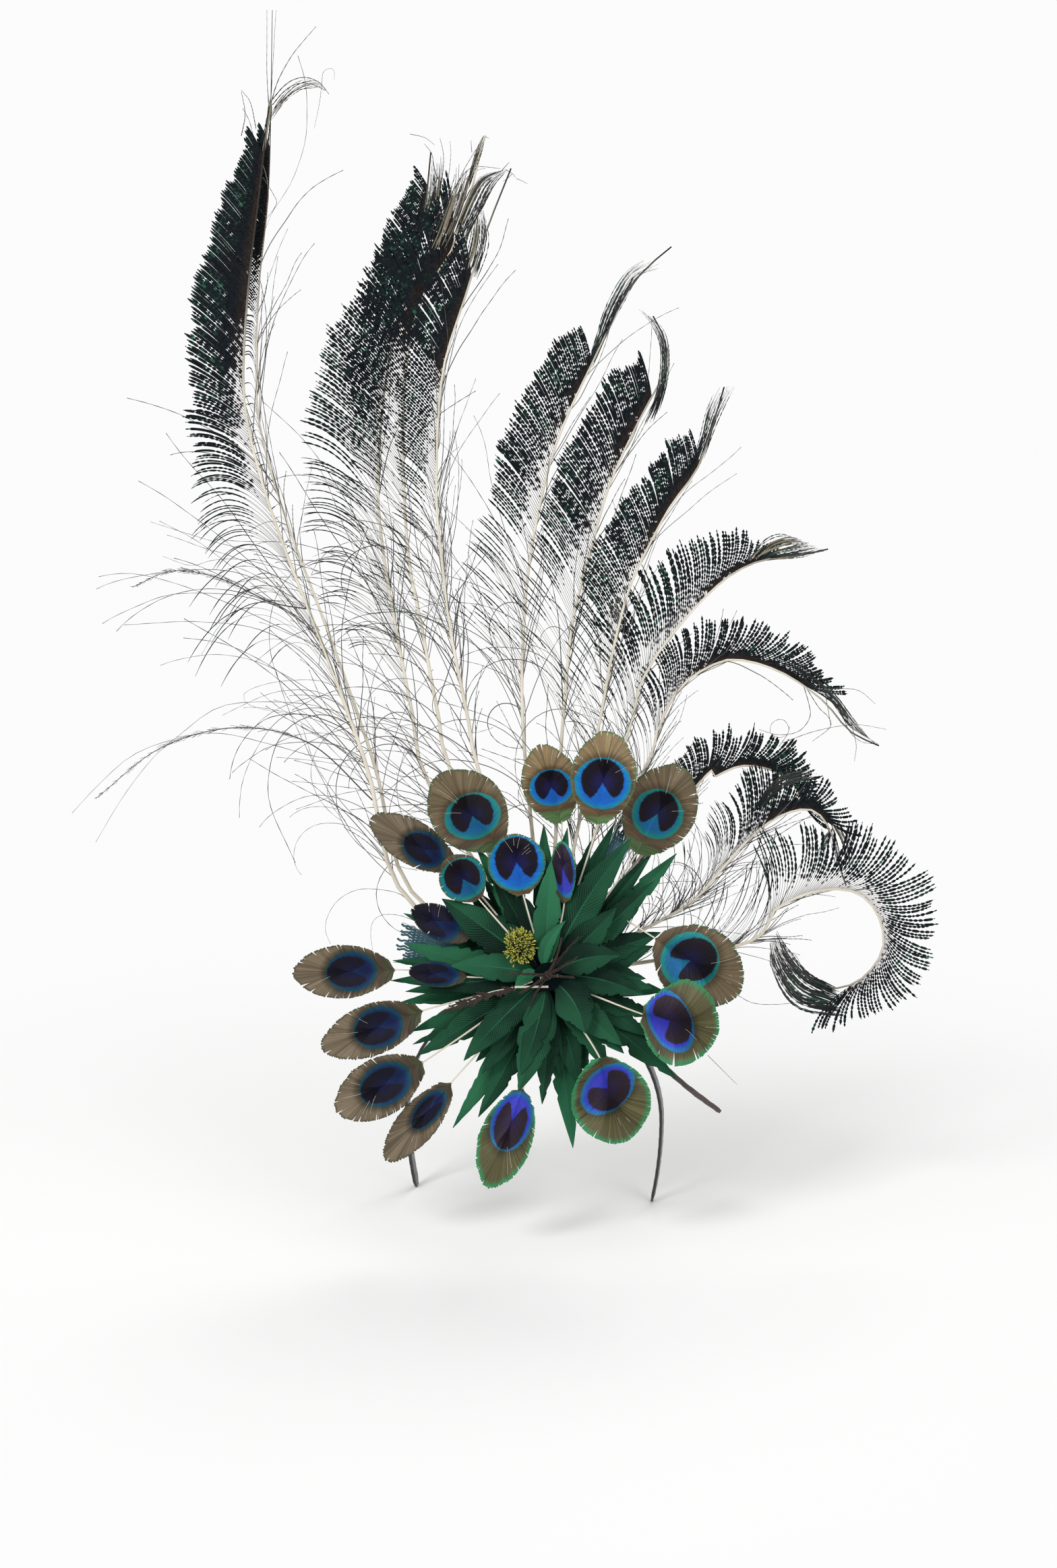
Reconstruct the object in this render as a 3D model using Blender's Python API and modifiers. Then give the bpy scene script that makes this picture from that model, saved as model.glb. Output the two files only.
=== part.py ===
"""Peacock feather fascinator hat on a headband.

A black band runs over the head from ear to ear. A felt pad sits on its top and carries a taped
core. Round the core stand, from back to front, tall one-sided sword feathers, rings of green
feather leaves, trimmed peacock eyes on bare quills, a yellow stamen tuft and a knot of dark stems.

X is the wearer's left, -Y is the front and Z is up. The origin is the inner top of the band,
where it rests on the head. The tables are in millimetres and the meshes in metres.
"""

import math
from typing import NamedTuple

import bmesh
import bpy
from mathutils import Matrix, Vector

MM = 0.001
GAP = 0.3

# The headband is a half ring with two legs that close in a little towards their ends.
BAND_RADIUS = 73.0
BAND_THICKNESS = 2.0
BAND_WIDTH = 9.0
BAND_LEG = 48.0
BAND_LEG_CLOSING = 5.0
BAND_ARCH_STEPS = 20
BAND_LEG_STEPS = 3

# The felt pad is a dome over the band, hollow below as the head is round.
PAD_CENTRE = (8.0, -15.0, 3.0)
PAD_RADII = (28.0, 24.0, 13.0)
PAD_BAND_GAP = 0.6
HEAD_DEPTH_RADIUS = 95.0

# The spray has its own axes: u across, v up and w towards the viewer, from the flower's heart.
HEART = Vector((16.0, -48.0, 22.5))
FACE_TURN = math.radians(10.0)
FACE_RISE = math.radians(12.0)
TOWARD = Vector(
    (
        math.sin(FACE_TURN) * math.cos(FACE_RISE),
        -math.cos(FACE_TURN) * math.cos(FACE_RISE),
        math.sin(FACE_RISE),
    )
)
ACROSS = Vector((math.cos(FACE_TURN), math.sin(FACE_TURN), 0.0))
UPWARD = TOWARD.cross(ACROSS)

# Layers of the spray open like pages: their spacing grows outwards by LAYER_SPREAD.
LAYER_SPREAD = 1.2
SPREAD_REACH = 60.0
LEAN_DEPTH = 22.0
LEAN_HEIGHT = 70.0
SWEEP_DEPTH = 34.0
SWEEP_REACH = 530.0

# The spray is laid out as it looks from the front at this distance, about this point.
VIEW_DISTANCE = 1500.0
VIEW_U = -10.4
VIEW_V = 106.0

# Everything in the spray starts at a collar or at the core, which have this radius.
CORE_RADIUS = 8.0
CORE_FRONT = -12.1
CORE_BACK = -23.5
CORE_SIDES = 16
SEAT = CORE_RADIUS + GAP + 0.1

LEAF_THICKNESS = 0.9
LEAF_CUP = 0.45
LEAF_ROOT = 5.6
LEAF_ROOT_WIDTH = 2.4
LEAF_ROWS = 4
EYE_THICKNESS = 1.3
EYE_DISC_SHARE = 0.7
EYE_DISH = 0.9
QUILL_THICKNESS = 2.2
QUILL_TIP_WIDTH = 0.9
VANE_SHARE = 0.42
BARE_ROWS = 4
VANE_ROWS = 15
BARB_LEAN = 0.55
LOCK_NOTCH = 0.74


class Ring(NamedTuple):
    """A ring of leaves: its layer, and where its collar ends at the back and at the front."""

    layer: float
    back: float
    front: float


RINGS = {
    1: Ring(-10.4, -12.1, -8.6),
    2: Ring(-6.8, -8.6, -5.8),
    3: Ring(-4.8, -5.8, -3.0),
    4: Ring(-1.2, -3.0, 0.6),
    5: Ring(2.4, 0.6, 4.2),
    6: Ring(6.0, 4.2, 7.6),
    7: Ring(9.2, 7.6, 10.4),
}


class Leaf(NamedTuple):
    """A leaf: its ring, its tip, its greatest width and the bearing at which it leaves the collar."""

    ring: int
    u: float
    v: float
    width: float
    bearing: float


LEAVES = [
    Leaf(7, 10, 31, 7, 105),
    Leaf(7, -18, -7, 7, 165),
    Leaf(6, 40, 12, 16, 35),
    Leaf(6, 21, -31, 20, -35),
    Leaf(6, -53, 6, 14, 165),
    Leaf(6, 2, 64, 14, 92),
    Leaf(5, -16, -63, 18, -98),
    Leaf(5, -58, 43, 20, 140),
    Leaf(5, 46, 76, 17, 68),
    Leaf(5, 53, -10, 16, 5),
    Leaf(5, -46, -46, 15, -140),
    Leaf(4, -39, 71, 14, 112),
    Leaf(4, -78, 18, 15, 172),
    Leaf(4, 59, 53, 14, 38),
    Leaf(4, 54, -1, 14, 10),
    Leaf(4, 42, -42, 15, -45),
    Leaf(4, -3, -70, 12, -88),
    Leaf(4, -71, -43, 15, -150),
    Leaf(3, 71, 68, 14, 40),
    Leaf(3, 24, 75, 12, 72),
    Leaf(3, 56, -33, 15, -25),
    Leaf(3, 18, -62, 14, -70),
    Leaf(3, -38, -77, 15, -112),
    Leaf(3, -74, -37, 11, -150),
    Leaf(3, -78, -8, 11, -176),
    Leaf(3, 58, 17, 16, 12),
    Leaf(2, 11, 82, 12, 84),
    Leaf(2, 55, 56, 15, 32),
    Leaf(2, 71, -56, 15, -36),
    Leaf(2, 14, -94, 14, -78),
    Leaf(2, -52, -83, 12, -120),
    Leaf(2, -75, -30, 12, -158),
    Leaf(2, -86, -2, 11, -179),
    Leaf(2, -79, 35, 12, 155),
    Leaf(1, -2, 84, 12, 92),
    Leaf(1, 37, 85, 11, 68),
    Leaf(1, 58, 69, 11, 49),
    Leaf(1, -81, -14, 11, -168),
    Leaf(1, -85, 9, 11, 172),
]


class Eye(NamedTuple):
    """A peacock eye: its layer, the foot of its disc, the disc's far end and its width."""

    layer: float
    foot_u: float
    foot_v: float
    tip_u: float
    tip_v: float
    width: float


FRONT_EYES = 4.2
MIDDLE_EYES = 0.6
BACK_EYES = -3.0
REAR_EYES = -8.6

EYES = [
    Eye(BACK_EYES, -49, 59, -96, 87, 24),
    Eye(MIDDLE_EYES, -25, 70, -60, 110, 42),
    Eye(REAR_EYES, 8, 83, -4, 127, 31),
    Eye(BACK_EYES, 27, 82, 34, 134, 36),
    Eye(REAR_EYES, 48, 66, 74, 115, 40),
    Eye(FRONT_EYES, -37, 42, -55, 65, 26),
    Eye(FRONT_EYES, -13, 44, -20, 78, 32),
    Eye(FRONT_EYES, 9, 39, 8, 74, 14),
    Eye(MIDDLE_EYES, -41, 21, -74, 37, 19),
    Eye(BACK_EYES, -82, 4, -139, 2, 29),
    Eye(FRONT_EYES, -43, 0, -76, 3, 14),
    Eye(BACK_EYES, -67, -18, -123, -39, 28),
    Eye(MIDDLE_EYES, -67, -46, -115, -74, 32),
    Eye(BACK_EYES, -52, -57, -88, -100, 21),
    Eye(MIDDLE_EYES, -13, -60, -32, -115, 29),
    Eye(FRONT_EYES, 28, -43, 41, -90, 44),
    Eye(MIDDLE_EYES, 51, -20, 93, -30, 48),
    Eye(BACK_EYES, 58, 22, 105, -8, 44),
]

# Along an eye's disc: the share of its length, and of its width there.
EYE_OUTLINE = [
    (0.06, 0.22),
    (0.24, 0.70),
    (0.45, 0.97),
    (0.65, 0.97),
    (0.85, 0.70),
    (1.00, 0.26),
]
EYE_STEM_ROWS = 2


class Sword(NamedTuple):
    """A sword feather: its layer at root and tip, where its vane starts as a share of its length,
    the vane's width at four places from there to the tip, the root's width, and its quill's points.
    """

    layer: float
    tip_layer: float
    vane_from: float
    widths: tuple
    root_width: float
    quill: tuple


SWORDS = [
    Sword(-14.5, -14.5, 0.50, (16, 40, 33, 6), 2.2,
          ((-78, 44), (-99, 115), (-123, 181), (-149, 248), (-163, 296), (-167, 329),
           (-164, 381), (-158, 433), (-153, 478))),
    Sword(-18.5, -18.5, 0.66, (6, 15, 13, 3), 2.0,
          ((-74, 46), (-95, 117), (-118, 183), (-143, 250), (-157, 298), (-160, 331),
           (-158, 383), (-153, 435), (-151, 531))),
    Sword(-18.5, -18.5, 0.50, (18, 46, 36, 5), 2.0,
          ((-64, 104), (-74, 144), (-84, 196), (-91, 240), (-93, 277), (-88, 333),
           (-78, 370), (-69, 407), (-64, 453))),
    Sword(-16.5, -16.5, 0.54, (18, 33, 26, 5), 2.0,
          ((-52, 111), (-60, 144), (-69, 192), (-76, 229), (-79, 277), (-78, 329),
           (-70, 370), (-50, 405), (-34, 462))),
    Sword(-14.5, -14.5, 0.54, (14, 23, 20, 4), 2.0,
          ((-37, 111), (-44, 144), (-53, 189), (-58, 229), (-61, 266), (-58, 329),
           (-45, 374), (-33, 411), (-20, 444))),
    Sword(-18.5, -18.5, 0.50, (20, 27, 21, 4), 1.9,
          ((-13, 130), (-13, 192), (-9, 233), (0, 277), (10, 306), (25, 338),
           (42, 373), (53, 388), (68, 401))),
    Sword(-16.5, -16.5, 0.50, (20, 31, 24, 3), 1.9,
          ((7, 118), (10, 159), (14, 196), (23, 231), (34, 270), (50, 305),
           (64, 332), (65, 348), (58, 363))),
    Sword(-14.5, -14.5, 0.46, (18, 26, 20, 3), 1.8,
          ((28, 137), (34, 170), (41, 200), (48, 221), (66, 256), (81, 277),
           (88, 294), (97, 324))),
    Sword(-16.5, -16.5, 0.42, (20, 29, 22, 4), 1.8,
          ((44, 133), (49, 155), (57, 172), (70, 190), (86, 208), (101, 221),
           (118, 229), (131, 230), (154, 235))),
    Sword(-18.5, -18.5, 0.42, (18, 22, 17, 3), 1.8,
          ((55, 118), (60, 135), (73, 159), (92, 172), (107, 174), (129, 167),
           (151, 152), (166, 135), (182, 127))),
    Sword(-20.5, -20.5, 0.50, (14, 20, 18, 4), 1.7,
          ((82, 105), (92, 110), (107, 116), (125, 113), (136, 105), (142, 92))),
    Sword(-16.5, -16.5, 0.42, (14, 25, 28, 6), 1.8,
          ((73, 37), (92, 55), (107, 72), (125, 87), (144, 92), (155, 81),
           (161, 59), (164, 50))),
    Sword(-14.5, -11.5, 0.40, (34, 30, 26, 8), 1.9,
          ((107, 18), (125, 37), (147, 47), (168, 47), (181, 35), (184, 15),
           (171, -2), (153, -6), (140, 4))),
]

# Long loose barbs that sweep out from the first sword feather's bare quill: where each leaves it,
# as a share of the quill's length, and the points that it passes.
LOOSE_BARB_WIDTH = 1.8
LOOSE_BARB_THICKNESS = 1.0
LOOSE_BARB_SEAT = 1.3
LOOSE_BARB_ROWS = 7
LOOSE_BARBS = [
    (0.26, ((-130, 128), (-170, 137), (-212, 126), (-248, 98))),
    (0.47, ((-152, 206), (-180, 219), (-206, 223), (-228, 214))),
]

# Scraps of stiff net behind the flower: from the core to a mouth this wide.
NET_LAYER = -12.35
NET_THICKNESS = 0.35
NETS = {
    "net_scrap_left": ((-82, 19), 20),
    "net_scrap_top": ((46, 84), 12),
}

TAPED_STEM_END = (95, -74)
TAPED_STEM_LAYER = -14.7
TAPED_STEM_RADIUS = 1.6

TUFT_CENTRE = (-15.5, 16.5)
TUFT_LAYER = 9.2
TUFT_RADIUS = 6.0
TUFT_SPIKES = ((1, 0.0), (5, 30.0), (8, 62.0))
TUFT_SPIKE_LENGTH = 10.5
TUFT_SPIKE_RADIUS = 1.25

KNOT_RADIUS = 3.0
# Each dark stem that leaves the knot: its bearing, its rise towards the viewer and its length.
KNOT_STEMS = [
    (50, 12, 24),
    (68, 24, 22),
    (28, 20, 17),
    (-8, 14, 14),
    (-118, 14, 20),
    (-142, 22, 18),
    (178, 8, 22),
]
KNOT_STEM_RADIUS = 0.75

SPLINTER_POINTS = ((-18, -6), (-32, -9), (-44, -14), (-56, -18))
SPLINTER_LAYER = 7.6
SPLINTER_WIDTH = 3.0


def layer_point(u, v, w):
    """A place of the spray in metres: w is its layer, and the layers never cross."""
    reach = math.hypot(u, v)
    opening = 1 + LAYER_SPREAD * (1 - math.exp(-reach / SPREAD_REACH))
    lean = -LEAN_DEPTH * math.tanh(v / LEAN_HEIGHT)
    sweep = -SWEEP_DEPTH * (reach / SWEEP_REACH) ** 2
    depth = lean + sweep + w * opening
    scale = 1 - depth / VIEW_DISTANCE
    wide = VIEW_U + (u - VIEW_U) * scale
    high = VIEW_V + (v - VIEW_V) * scale
    return (HEART + wide * ACROSS + high * UPWARD + depth * TOWARD) * MM


def layer_frame(u, v, w):
    """The turn that takes Z to the front of the layer at that place, and Y up along it."""
    up = (layer_point(u, v + 1, w) - layer_point(u, v - 1, w)).normalized()
    front = ACROSS.cross(up).normalized()
    return Matrix((ACROSS, front.cross(ACROSS), front)).transposed()


def spread(table, share):
    """Reads a row of equally spaced values at a share of the way along it."""
    place = min(max(share, 0.0), 1.0) * (len(table) - 1)
    first = min(int(place), len(table) - 2)
    return table[first] + (table[first + 1] - table[first]) * (place - first)


class Path:
    """A smooth curve in the u, v plane through a few points, read by a share of its length."""

    STEPS = 10

    def __init__(self, points):
        knots = [Vector(point) for point in points]
        knots = [2 * knots[0] - knots[1], *knots, 2 * knots[-1] - knots[-2]]
        self.dense = [knots[1]]
        for before, start, end, after in zip(knots, knots[1:], knots[2:], knots[3:]):
            for step in range(1, self.STEPS + 1):
                t = step / self.STEPS
                self.dense.append(
                    0.5
                    * (
                        2 * start
                        + (end - before) * t
                        + (2 * before - 5 * start + 4 * end - after) * t * t
                        + (3 * start - before - 3 * end + after) * t * t * t
                    )
                )
        self.reach = [0.0]
        for start, end in zip(self.dense, self.dense[1:]):
            self.reach.append(self.reach[-1] + (end - start).length)

    def at(self, share):
        """The point there and the direction of travel."""
        wanted = share * self.reach[-1]
        index = 0
        while index < len(self.dense) - 2 and self.reach[index + 1] < wanted:
            index += 1
        step = self.dense[index + 1] - self.dense[index]
        along = (wanted - self.reach[index]) / step.length
        return self.dense[index] + step * along, step.normalized()


def seat_towards(u, v):
    """The point on the core's side, or on a collar's, that faces a place of the spray."""
    return Vector((u, v)).normalized() * SEAT


def new_material(name, colour, roughness=0.6, metallic=0.0):
    """A Principled material of one colour."""
    material = bpy.data.materials.new(name)
    material.use_nodes = True
    shader = material.node_tree.nodes["Principled BSDF"]
    shader.inputs["Base Color"].default_value = (*colour, 1.0)
    shader.inputs["Roughness"].default_value = roughness
    shader.inputs["Metallic"].default_value = metallic
    return material


def new_object(name, mesh, material, collection):
    """An object in the collection, from a bmesh that it uses up."""
    data = bpy.data.meshes.new(name)
    mesh.to_mesh(data)
    mesh.free()
    data.materials.append(material)
    made = bpy.data.objects.new(name, data)
    collection.objects.link(made)
    return made


def add_sheet(mesh, rows, columns, place):
    """Adds a grid whose corners go where place(row, column) says, with their share of thickness."""
    weights = mesh.verts.layers.deform.verify()
    sheet = bmesh.ops.create_grid(mesh, x_segments=columns, y_segments=rows, size=0.5)
    for vert in sheet["verts"]:
        column = round((vert.co.x + 0.5) * columns)
        row = round((vert.co.y + 0.5) * rows)
        vert.co, vert[weights][0] = place(row, column)


def thicken(made, thickness):
    """Gives a sheet its wall, as thick at each corner as the corner's share says."""
    made.vertex_groups.new(name="thickness")
    wall = made.modifiers.new("wall", "SOLIDIFY")
    wall.thickness = thickness * MM
    wall.offset = 0.0
    wall.vertex_group = "thickness"


def join(made, other, operation="UNION"):
    """Fuses another object into this one, or cuts it away."""
    change = made.modifiers.new(operation.lower(), "BOOLEAN")
    change.operation = operation
    change.use_self = operation == "UNION"
    change.object = other
    other.hide_render = True
    other.display_type = "WIRE"


def layer_prism(name, radius, back, front, material, collection):
    """A round collar or core in the middle of the spray, between two layers."""
    mesh = bmesh.new()
    bmesh.ops.create_cone(
        mesh, cap_ends=True, segments=CORE_SIDES, radius1=radius, radius2=radius, depth=1.0
    )
    for vert in mesh.verts:
        layer = front if vert.co.z > 0 else back
        vert.co = layer_point(vert.co.x, vert.co.y, layer)
    return new_object(name, mesh, material, collection)


def make_headband(material, collection):
    """The band: a strip bent over the head, then given its thickness outwards."""
    steps = BAND_ARCH_STEPS + 2 * BAND_LEG_STEPS
    middle = BAND_RADIUS + BAND_THICKNESS / 2

    def section(step):
        side = step - steps / 2
        on_leg = abs(side) - BAND_ARCH_STEPS / 2
        if on_leg > 0:
            down = on_leg / BAND_LEG_STEPS
            wide = middle - BAND_LEG_CLOSING * down**2
            return math.copysign(wide, side), -BAND_RADIUS - BAND_LEG * down
        turn = side / BAND_ARCH_STEPS * math.pi
        return middle * math.sin(turn), middle * math.cos(turn) - BAND_RADIUS

    def place(row, column):
        wide, high = section(row)
        return Vector((wide, (column - 0.5) * BAND_WIDTH, high)) * MM, 1.0

    mesh = bmesh.new()
    add_sheet(mesh, steps, 1, place)
    band = new_object("headband", mesh, material, collection)
    thicken(band, BAND_THICKNESS)
    return band


def make_pad(material, collection, helpers):
    """The felt pad: a dome cut to the head below, and grooved for the core."""
    mesh = bmesh.new()
    bmesh.ops.create_uvsphere(mesh, u_segments=16, v_segments=8, radius=1.0)
    bmesh.ops.scale(mesh, vec=Vector(PAD_RADII) * MM, verts=mesh.verts)
    bmesh.ops.translate(mesh, vec=Vector(PAD_CENTRE) * MM, verts=mesh.verts)
    pad = new_object("base_pad", mesh, material, collection)

    mesh = bmesh.new()
    bmesh.ops.create_uvsphere(mesh, u_segments=40, v_segments=24, radius=1.0)
    round_the_band = BAND_RADIUS + BAND_THICKNESS + PAD_BAND_GAP
    radii = Vector((round_the_band, HEAD_DEPTH_RADIUS, round_the_band))
    bmesh.ops.scale(mesh, vec=radii * MM, verts=mesh.verts)
    bmesh.ops.translate(mesh, vec=Vector((0.0, 0.0, -BAND_RADIUS)) * MM, verts=mesh.verts)
    join(pad, new_object("head_hollow", mesh, material, helpers), "DIFFERENCE")

    groove = layer_prism(
        "core_groove", CORE_RADIUS + GAP, CORE_BACK - GAP, CORE_FRONT + 20.0, material, helpers
    )
    join(pad, groove, "DIFFERENCE")
    return pad


def leaf_place(leaf, layer):
    """Where the corners of one leaf's sheet go: a midrib that bends to the tip, and two halves."""
    bearing = math.radians(leaf.bearing)
    out = Vector((math.cos(bearing), math.sin(bearing)))
    tip = Vector((leaf.u, leaf.v))
    root = out * LEAF_ROOT
    bend = root + out * (tip - root).length * 0.45

    def place(row, column):
        t = row / LEAF_ROWS
        centre = (1 - t) ** 2 * root + 2 * t * (1 - t) * bend + t * t * tip
        travel = ((1 - t) * (bend - root) + t * (tip - bend)).normalized()
        side = Vector((-travel.y, travel.x)) * (1 - column)
        swell = math.sin(math.pi * t**0.9) ** 0.8 if 0 < t < 1 else 0.0
        half = max(LEAF_ROOT_WIDTH * (1 - t), leaf.width * swell, 0.9) / 2
        spot = centre + side * half
        cup = LEAF_CUP * swell * (abs(column - 1) - 0.5)
        return layer_point(spot.x, spot.y, layer + cup), 1.0

    return place


def make_leaf_ring(number, material, collection, helpers):
    """One ring: its leaves as sheets with a wall, fused to its collar."""
    ring = RINGS[number]
    name = f"leaf_ring_{number}"
    collar = layer_prism(
        name, CORE_RADIUS, ring.back + GAP / 2, ring.front - GAP / 2, material, collection
    )
    mesh = bmesh.new()
    for leaf in LEAVES:
        if leaf.ring == number:
            add_sheet(mesh, LEAF_ROWS, 2, leaf_place(leaf, ring.layer))
    leaves = new_object(f"{name}_leaves", mesh, material, helpers)
    thicken(leaves, LEAF_THICKNESS)
    join(collar, leaves)
    return collar


def make_eye(number, eye, material, collection):
    """One peacock eye: a bare quill from the collar, and a dished disc at its end."""
    foot = Vector((eye.foot_u, eye.foot_v))
    tip = Vector((eye.tip_u, eye.tip_v))
    seat = seat_towards(*foot)
    rows = EYE_STEM_ROWS + len(EYE_OUTLINE)

    def place(row, column):
        if row <= EYE_STEM_ROWS:
            centre = seat.lerp(foot, row / EYE_STEM_ROWS)
            travel = (foot - seat).normalized()
            half, dish, share = EYE_THICKNESS / 2, 0.0, 1.0
        else:
            along, wide = EYE_OUTLINE[row - EYE_STEM_ROWS - 1]
            centre = foot.lerp(tip, along)
            travel = (tip - foot).normalized()
            half, share = eye.width * wide / 2, EYE_DISC_SHARE
            dish = EYE_DISH * wide * (abs(column - 1.5) - 1.0)
        spot = centre + Vector((-travel.y, travel.x)) * half * (1 - column / 1.5)
        return layer_point(spot.x, spot.y, eye.layer + dish), share

    mesh = bmesh.new()
    add_sheet(mesh, rows, 3, place)
    made = new_object(f"peacock_eye_{number:02d}", mesh, material, collection)
    thicken(made, EYE_THICKNESS)
    return made


def sword_place(sword, path):
    """Where the corners of a sword feather's sheet go: a quill, and locks on its left side."""
    rows = BARE_ROWS + VANE_ROWS

    def place(row, column):
        if row <= BARE_ROWS:
            share = sword.vane_from * row / BARE_ROWS
        else:
            share = sword.vane_from + (1 - sword.vane_from) * (row - BARE_ROWS) / VANE_ROWS
        centre, travel = path.at(share)
        left = Vector((-travel.y, travel.x))
        quill = (sword.root_width + (QUILL_TIP_WIDTH - sword.root_width) * share) / 2
        layer = sword.layer + (sword.tip_layer - sword.layer) * share
        thick = quill * 2 / QUILL_THICKNESS
        if row <= BARE_ROWS:
            spot = centre + left * quill * (column / 1.5 - 1)
            return layer_point(spot.x, spot.y, layer), thick
        if column <= 1:
            spot = centre + left * quill * (2 * column - 1)
            return layer_point(spot.x, spot.y, layer), thick
        width = spread(sword.widths, (row - BARE_ROWS) / VANE_ROWS)
        if column == 3 and row % 2 and row < rows:
            width *= LOCK_NOTCH
        out = (width if column == 3 else width / 2) + quill
        spot = centre + left * out + travel * BARB_LEAN * out
        return layer_point(spot.x, spot.y, layer), VANE_SHARE

    return place


def make_sword(number, sword, material, collection):
    """One sword feather, from the core's side to its tip."""
    path = Path([seat_towards(*sword.quill[0]), *sword.quill])
    mesh = bmesh.new()
    add_sheet(mesh, BARE_ROWS + VANE_ROWS, 3, sword_place(sword, path))
    made = new_object(f"sword_feather_{number:02d}", mesh, material, collection)
    thicken(made, QUILL_THICKNESS)
    return made


def make_loose_barb(number, share, points, material, collection):
    """One long loose barb, seated on the left side of the first sword feather's quill."""
    sword = SWORDS[0]
    centre, travel = Path([seat_towards(*sword.quill[0]), *sword.quill]).at(share)
    quill = (sword.root_width + (QUILL_TIP_WIDTH - sword.root_width) * share) / 2
    seat = centre + Vector((-travel.y, travel.x)) * (quill + GAP + LOOSE_BARB_SEAT)
    path = Path([seat, *points])

    def place(row, column):
        along = row / LOOSE_BARB_ROWS
        spot, onward = path.at(along)
        side = Vector((-onward.y, onward.x)) * (column - 0.5) * LOOSE_BARB_WIDTH
        spot = spot + side * (1.2 - along)
        return layer_point(spot.x, spot.y, sword.layer), 1.0

    mesh = bmesh.new()
    add_sheet(mesh, LOOSE_BARB_ROWS, 1, place)
    made = new_object(f"loose_barb_{number}", mesh, material, collection)
    thicken(made, LOOSE_BARB_THICKNESS)
    return made


def make_net(name, end, width, material, collection):
    """A scrap of stiff net that widens from the core to its torn end."""
    end = Vector(end)
    seat = seat_towards(*end)
    travel = (end - seat).normalized()
    left = Vector((-travel.y, travel.x))

    def place(row, column):
        share = row / 4
        half = 1.5 + (width / 2 - 1.5) * share**1.5
        torn = 0.06 * width * (column % 2) * share
        spot = seat.lerp(end, share) + left * half * (column / 2 - 1) - travel * torn
        return layer_point(spot.x, spot.y, NET_LAYER), 1.0

    mesh = bmesh.new()
    add_sheet(mesh, 4, 4, place)
    made = new_object(name, mesh, material, collection)
    thicken(made, NET_THICKNESS)
    return made


def make_taped_stem(material, collection):
    """The wrapped end of the flower's wire stem, which shows beside the flower."""
    end = Vector(TAPED_STEM_END)
    start = end.normalized() * (SEAT + 0.2)
    stem = bpy.data.curves.new("taped_stem", "CURVE")
    stem.dimensions = "3D"
    stem.bevel_depth = TAPED_STEM_RADIUS * MM
    stem.bevel_resolution = 1
    stem.use_fill_caps = True
    line = stem.splines.new("POLY")
    steps = 6
    line.points.add(steps)
    for step, point in enumerate(line.points):
        spot = start.lerp(end, step / steps)
        point.co = (*layer_point(spot.x, spot.y, TAPED_STEM_LAYER), 1.0)
    stem.materials.append(material)
    made = bpy.data.objects.new("taped_stem", stem)
    collection.objects.link(made)
    return made


def add_spike(mesh, foot, direction, length, wide, narrow, sides=4):
    """A slim cone from foot along direction."""
    turn = direction.to_track_quat("Z", "Y").to_matrix().to_4x4()
    place = Matrix.Translation(foot + direction * length / 2) @ turn
    bmesh.ops.create_cone(
        mesh, cap_ends=True, segments=sides, radius1=wide, radius2=narrow, depth=length, matrix=place
    )


def make_tuft(material, collection, helpers):
    """The stamen tuft: spikes on a dome, with a short stalk to the collar."""
    centre = layer_point(*TUFT_CENTRE, TUFT_LAYER)
    mesh = bmesh.new()
    bmesh.ops.create_uvsphere(mesh, u_segments=10, v_segments=6, radius=TUFT_RADIUS * MM)
    bmesh.ops.scale(mesh, vec=(1.0, 1.0, 0.4), verts=mesh.verts)
    face = layer_frame(*TUFT_CENTRE, TUFT_LAYER)
    bmesh.ops.rotate(mesh, matrix=face, verts=mesh.verts)
    bmesh.ops.translate(mesh, vec=centre, verts=mesh.verts)
    tuft = new_object("stamen_tuft", mesh, material, collection)

    mesh = bmesh.new()
    for count, tilt in TUFT_SPIKES:
        for index in range(count):
            around = math.tau * (index + 0.5) / count
            lean = math.radians(tilt)
            local = Vector(
                (math.sin(lean) * math.cos(around), math.sin(lean) * math.sin(around), math.cos(lean))
            )
            foot = face @ Vector((local.x, local.y, 0.1)) * TUFT_RADIUS * 0.72 * MM
            reach = TUFT_SPIKE_LENGTH * MM
            add_spike(mesh, centre + foot, face @ local, reach,
                      TUFT_SPIKE_RADIUS * MM, 0.35 * TUFT_SPIKE_RADIUS * MM)
    join(tuft, new_object("tuft_spikes", mesh, material, helpers))

    seat = seat_towards(*TUFT_CENTRE)
    start = layer_point(seat.x, seat.y, TUFT_LAYER)
    mesh = bmesh.new()
    add_spike(mesh, start, (centre - start).normalized(), (centre - start).length,
              0.9 * MM, 1.2 * MM)
    join(tuft, new_object("tuft_stalk", mesh, material, helpers))
    return tuft


def make_knot(material, collection, helpers):
    """The knot of dark stems that lies over the flower's heart."""
    front = RINGS[7].front
    face = layer_frame(0, 0, front)
    seat = layer_point(CORE_RADIUS, 0, front).lerp(layer_point(-CORE_RADIUS, 0, front), 0.5)
    centre = seat + face.col[2] * (KNOT_RADIUS + GAP) * MM
    mesh = bmesh.new()
    bmesh.ops.create_uvsphere(mesh, u_segments=8, v_segments=5, radius=KNOT_RADIUS * MM)
    bmesh.ops.translate(mesh, vec=centre, verts=mesh.verts)
    knot = new_object("stem_knot", mesh, material, collection)

    mesh = bmesh.new()
    for bearing, rise, length in KNOT_STEMS:
        around, up = math.radians(bearing), math.radians(rise)
        direction = face @ Vector(
            (math.cos(up) * math.cos(around), math.cos(up) * math.sin(around), math.sin(up))
        )
        foot = centre + direction * KNOT_RADIUS * 0.75 * MM
        add_spike(mesh, foot, direction, length * MM, KNOT_STEM_RADIUS * MM,
                  0.6 * KNOT_STEM_RADIUS * MM)
    join(knot, new_object("knot_stems", mesh, material, helpers))
    return knot


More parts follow.
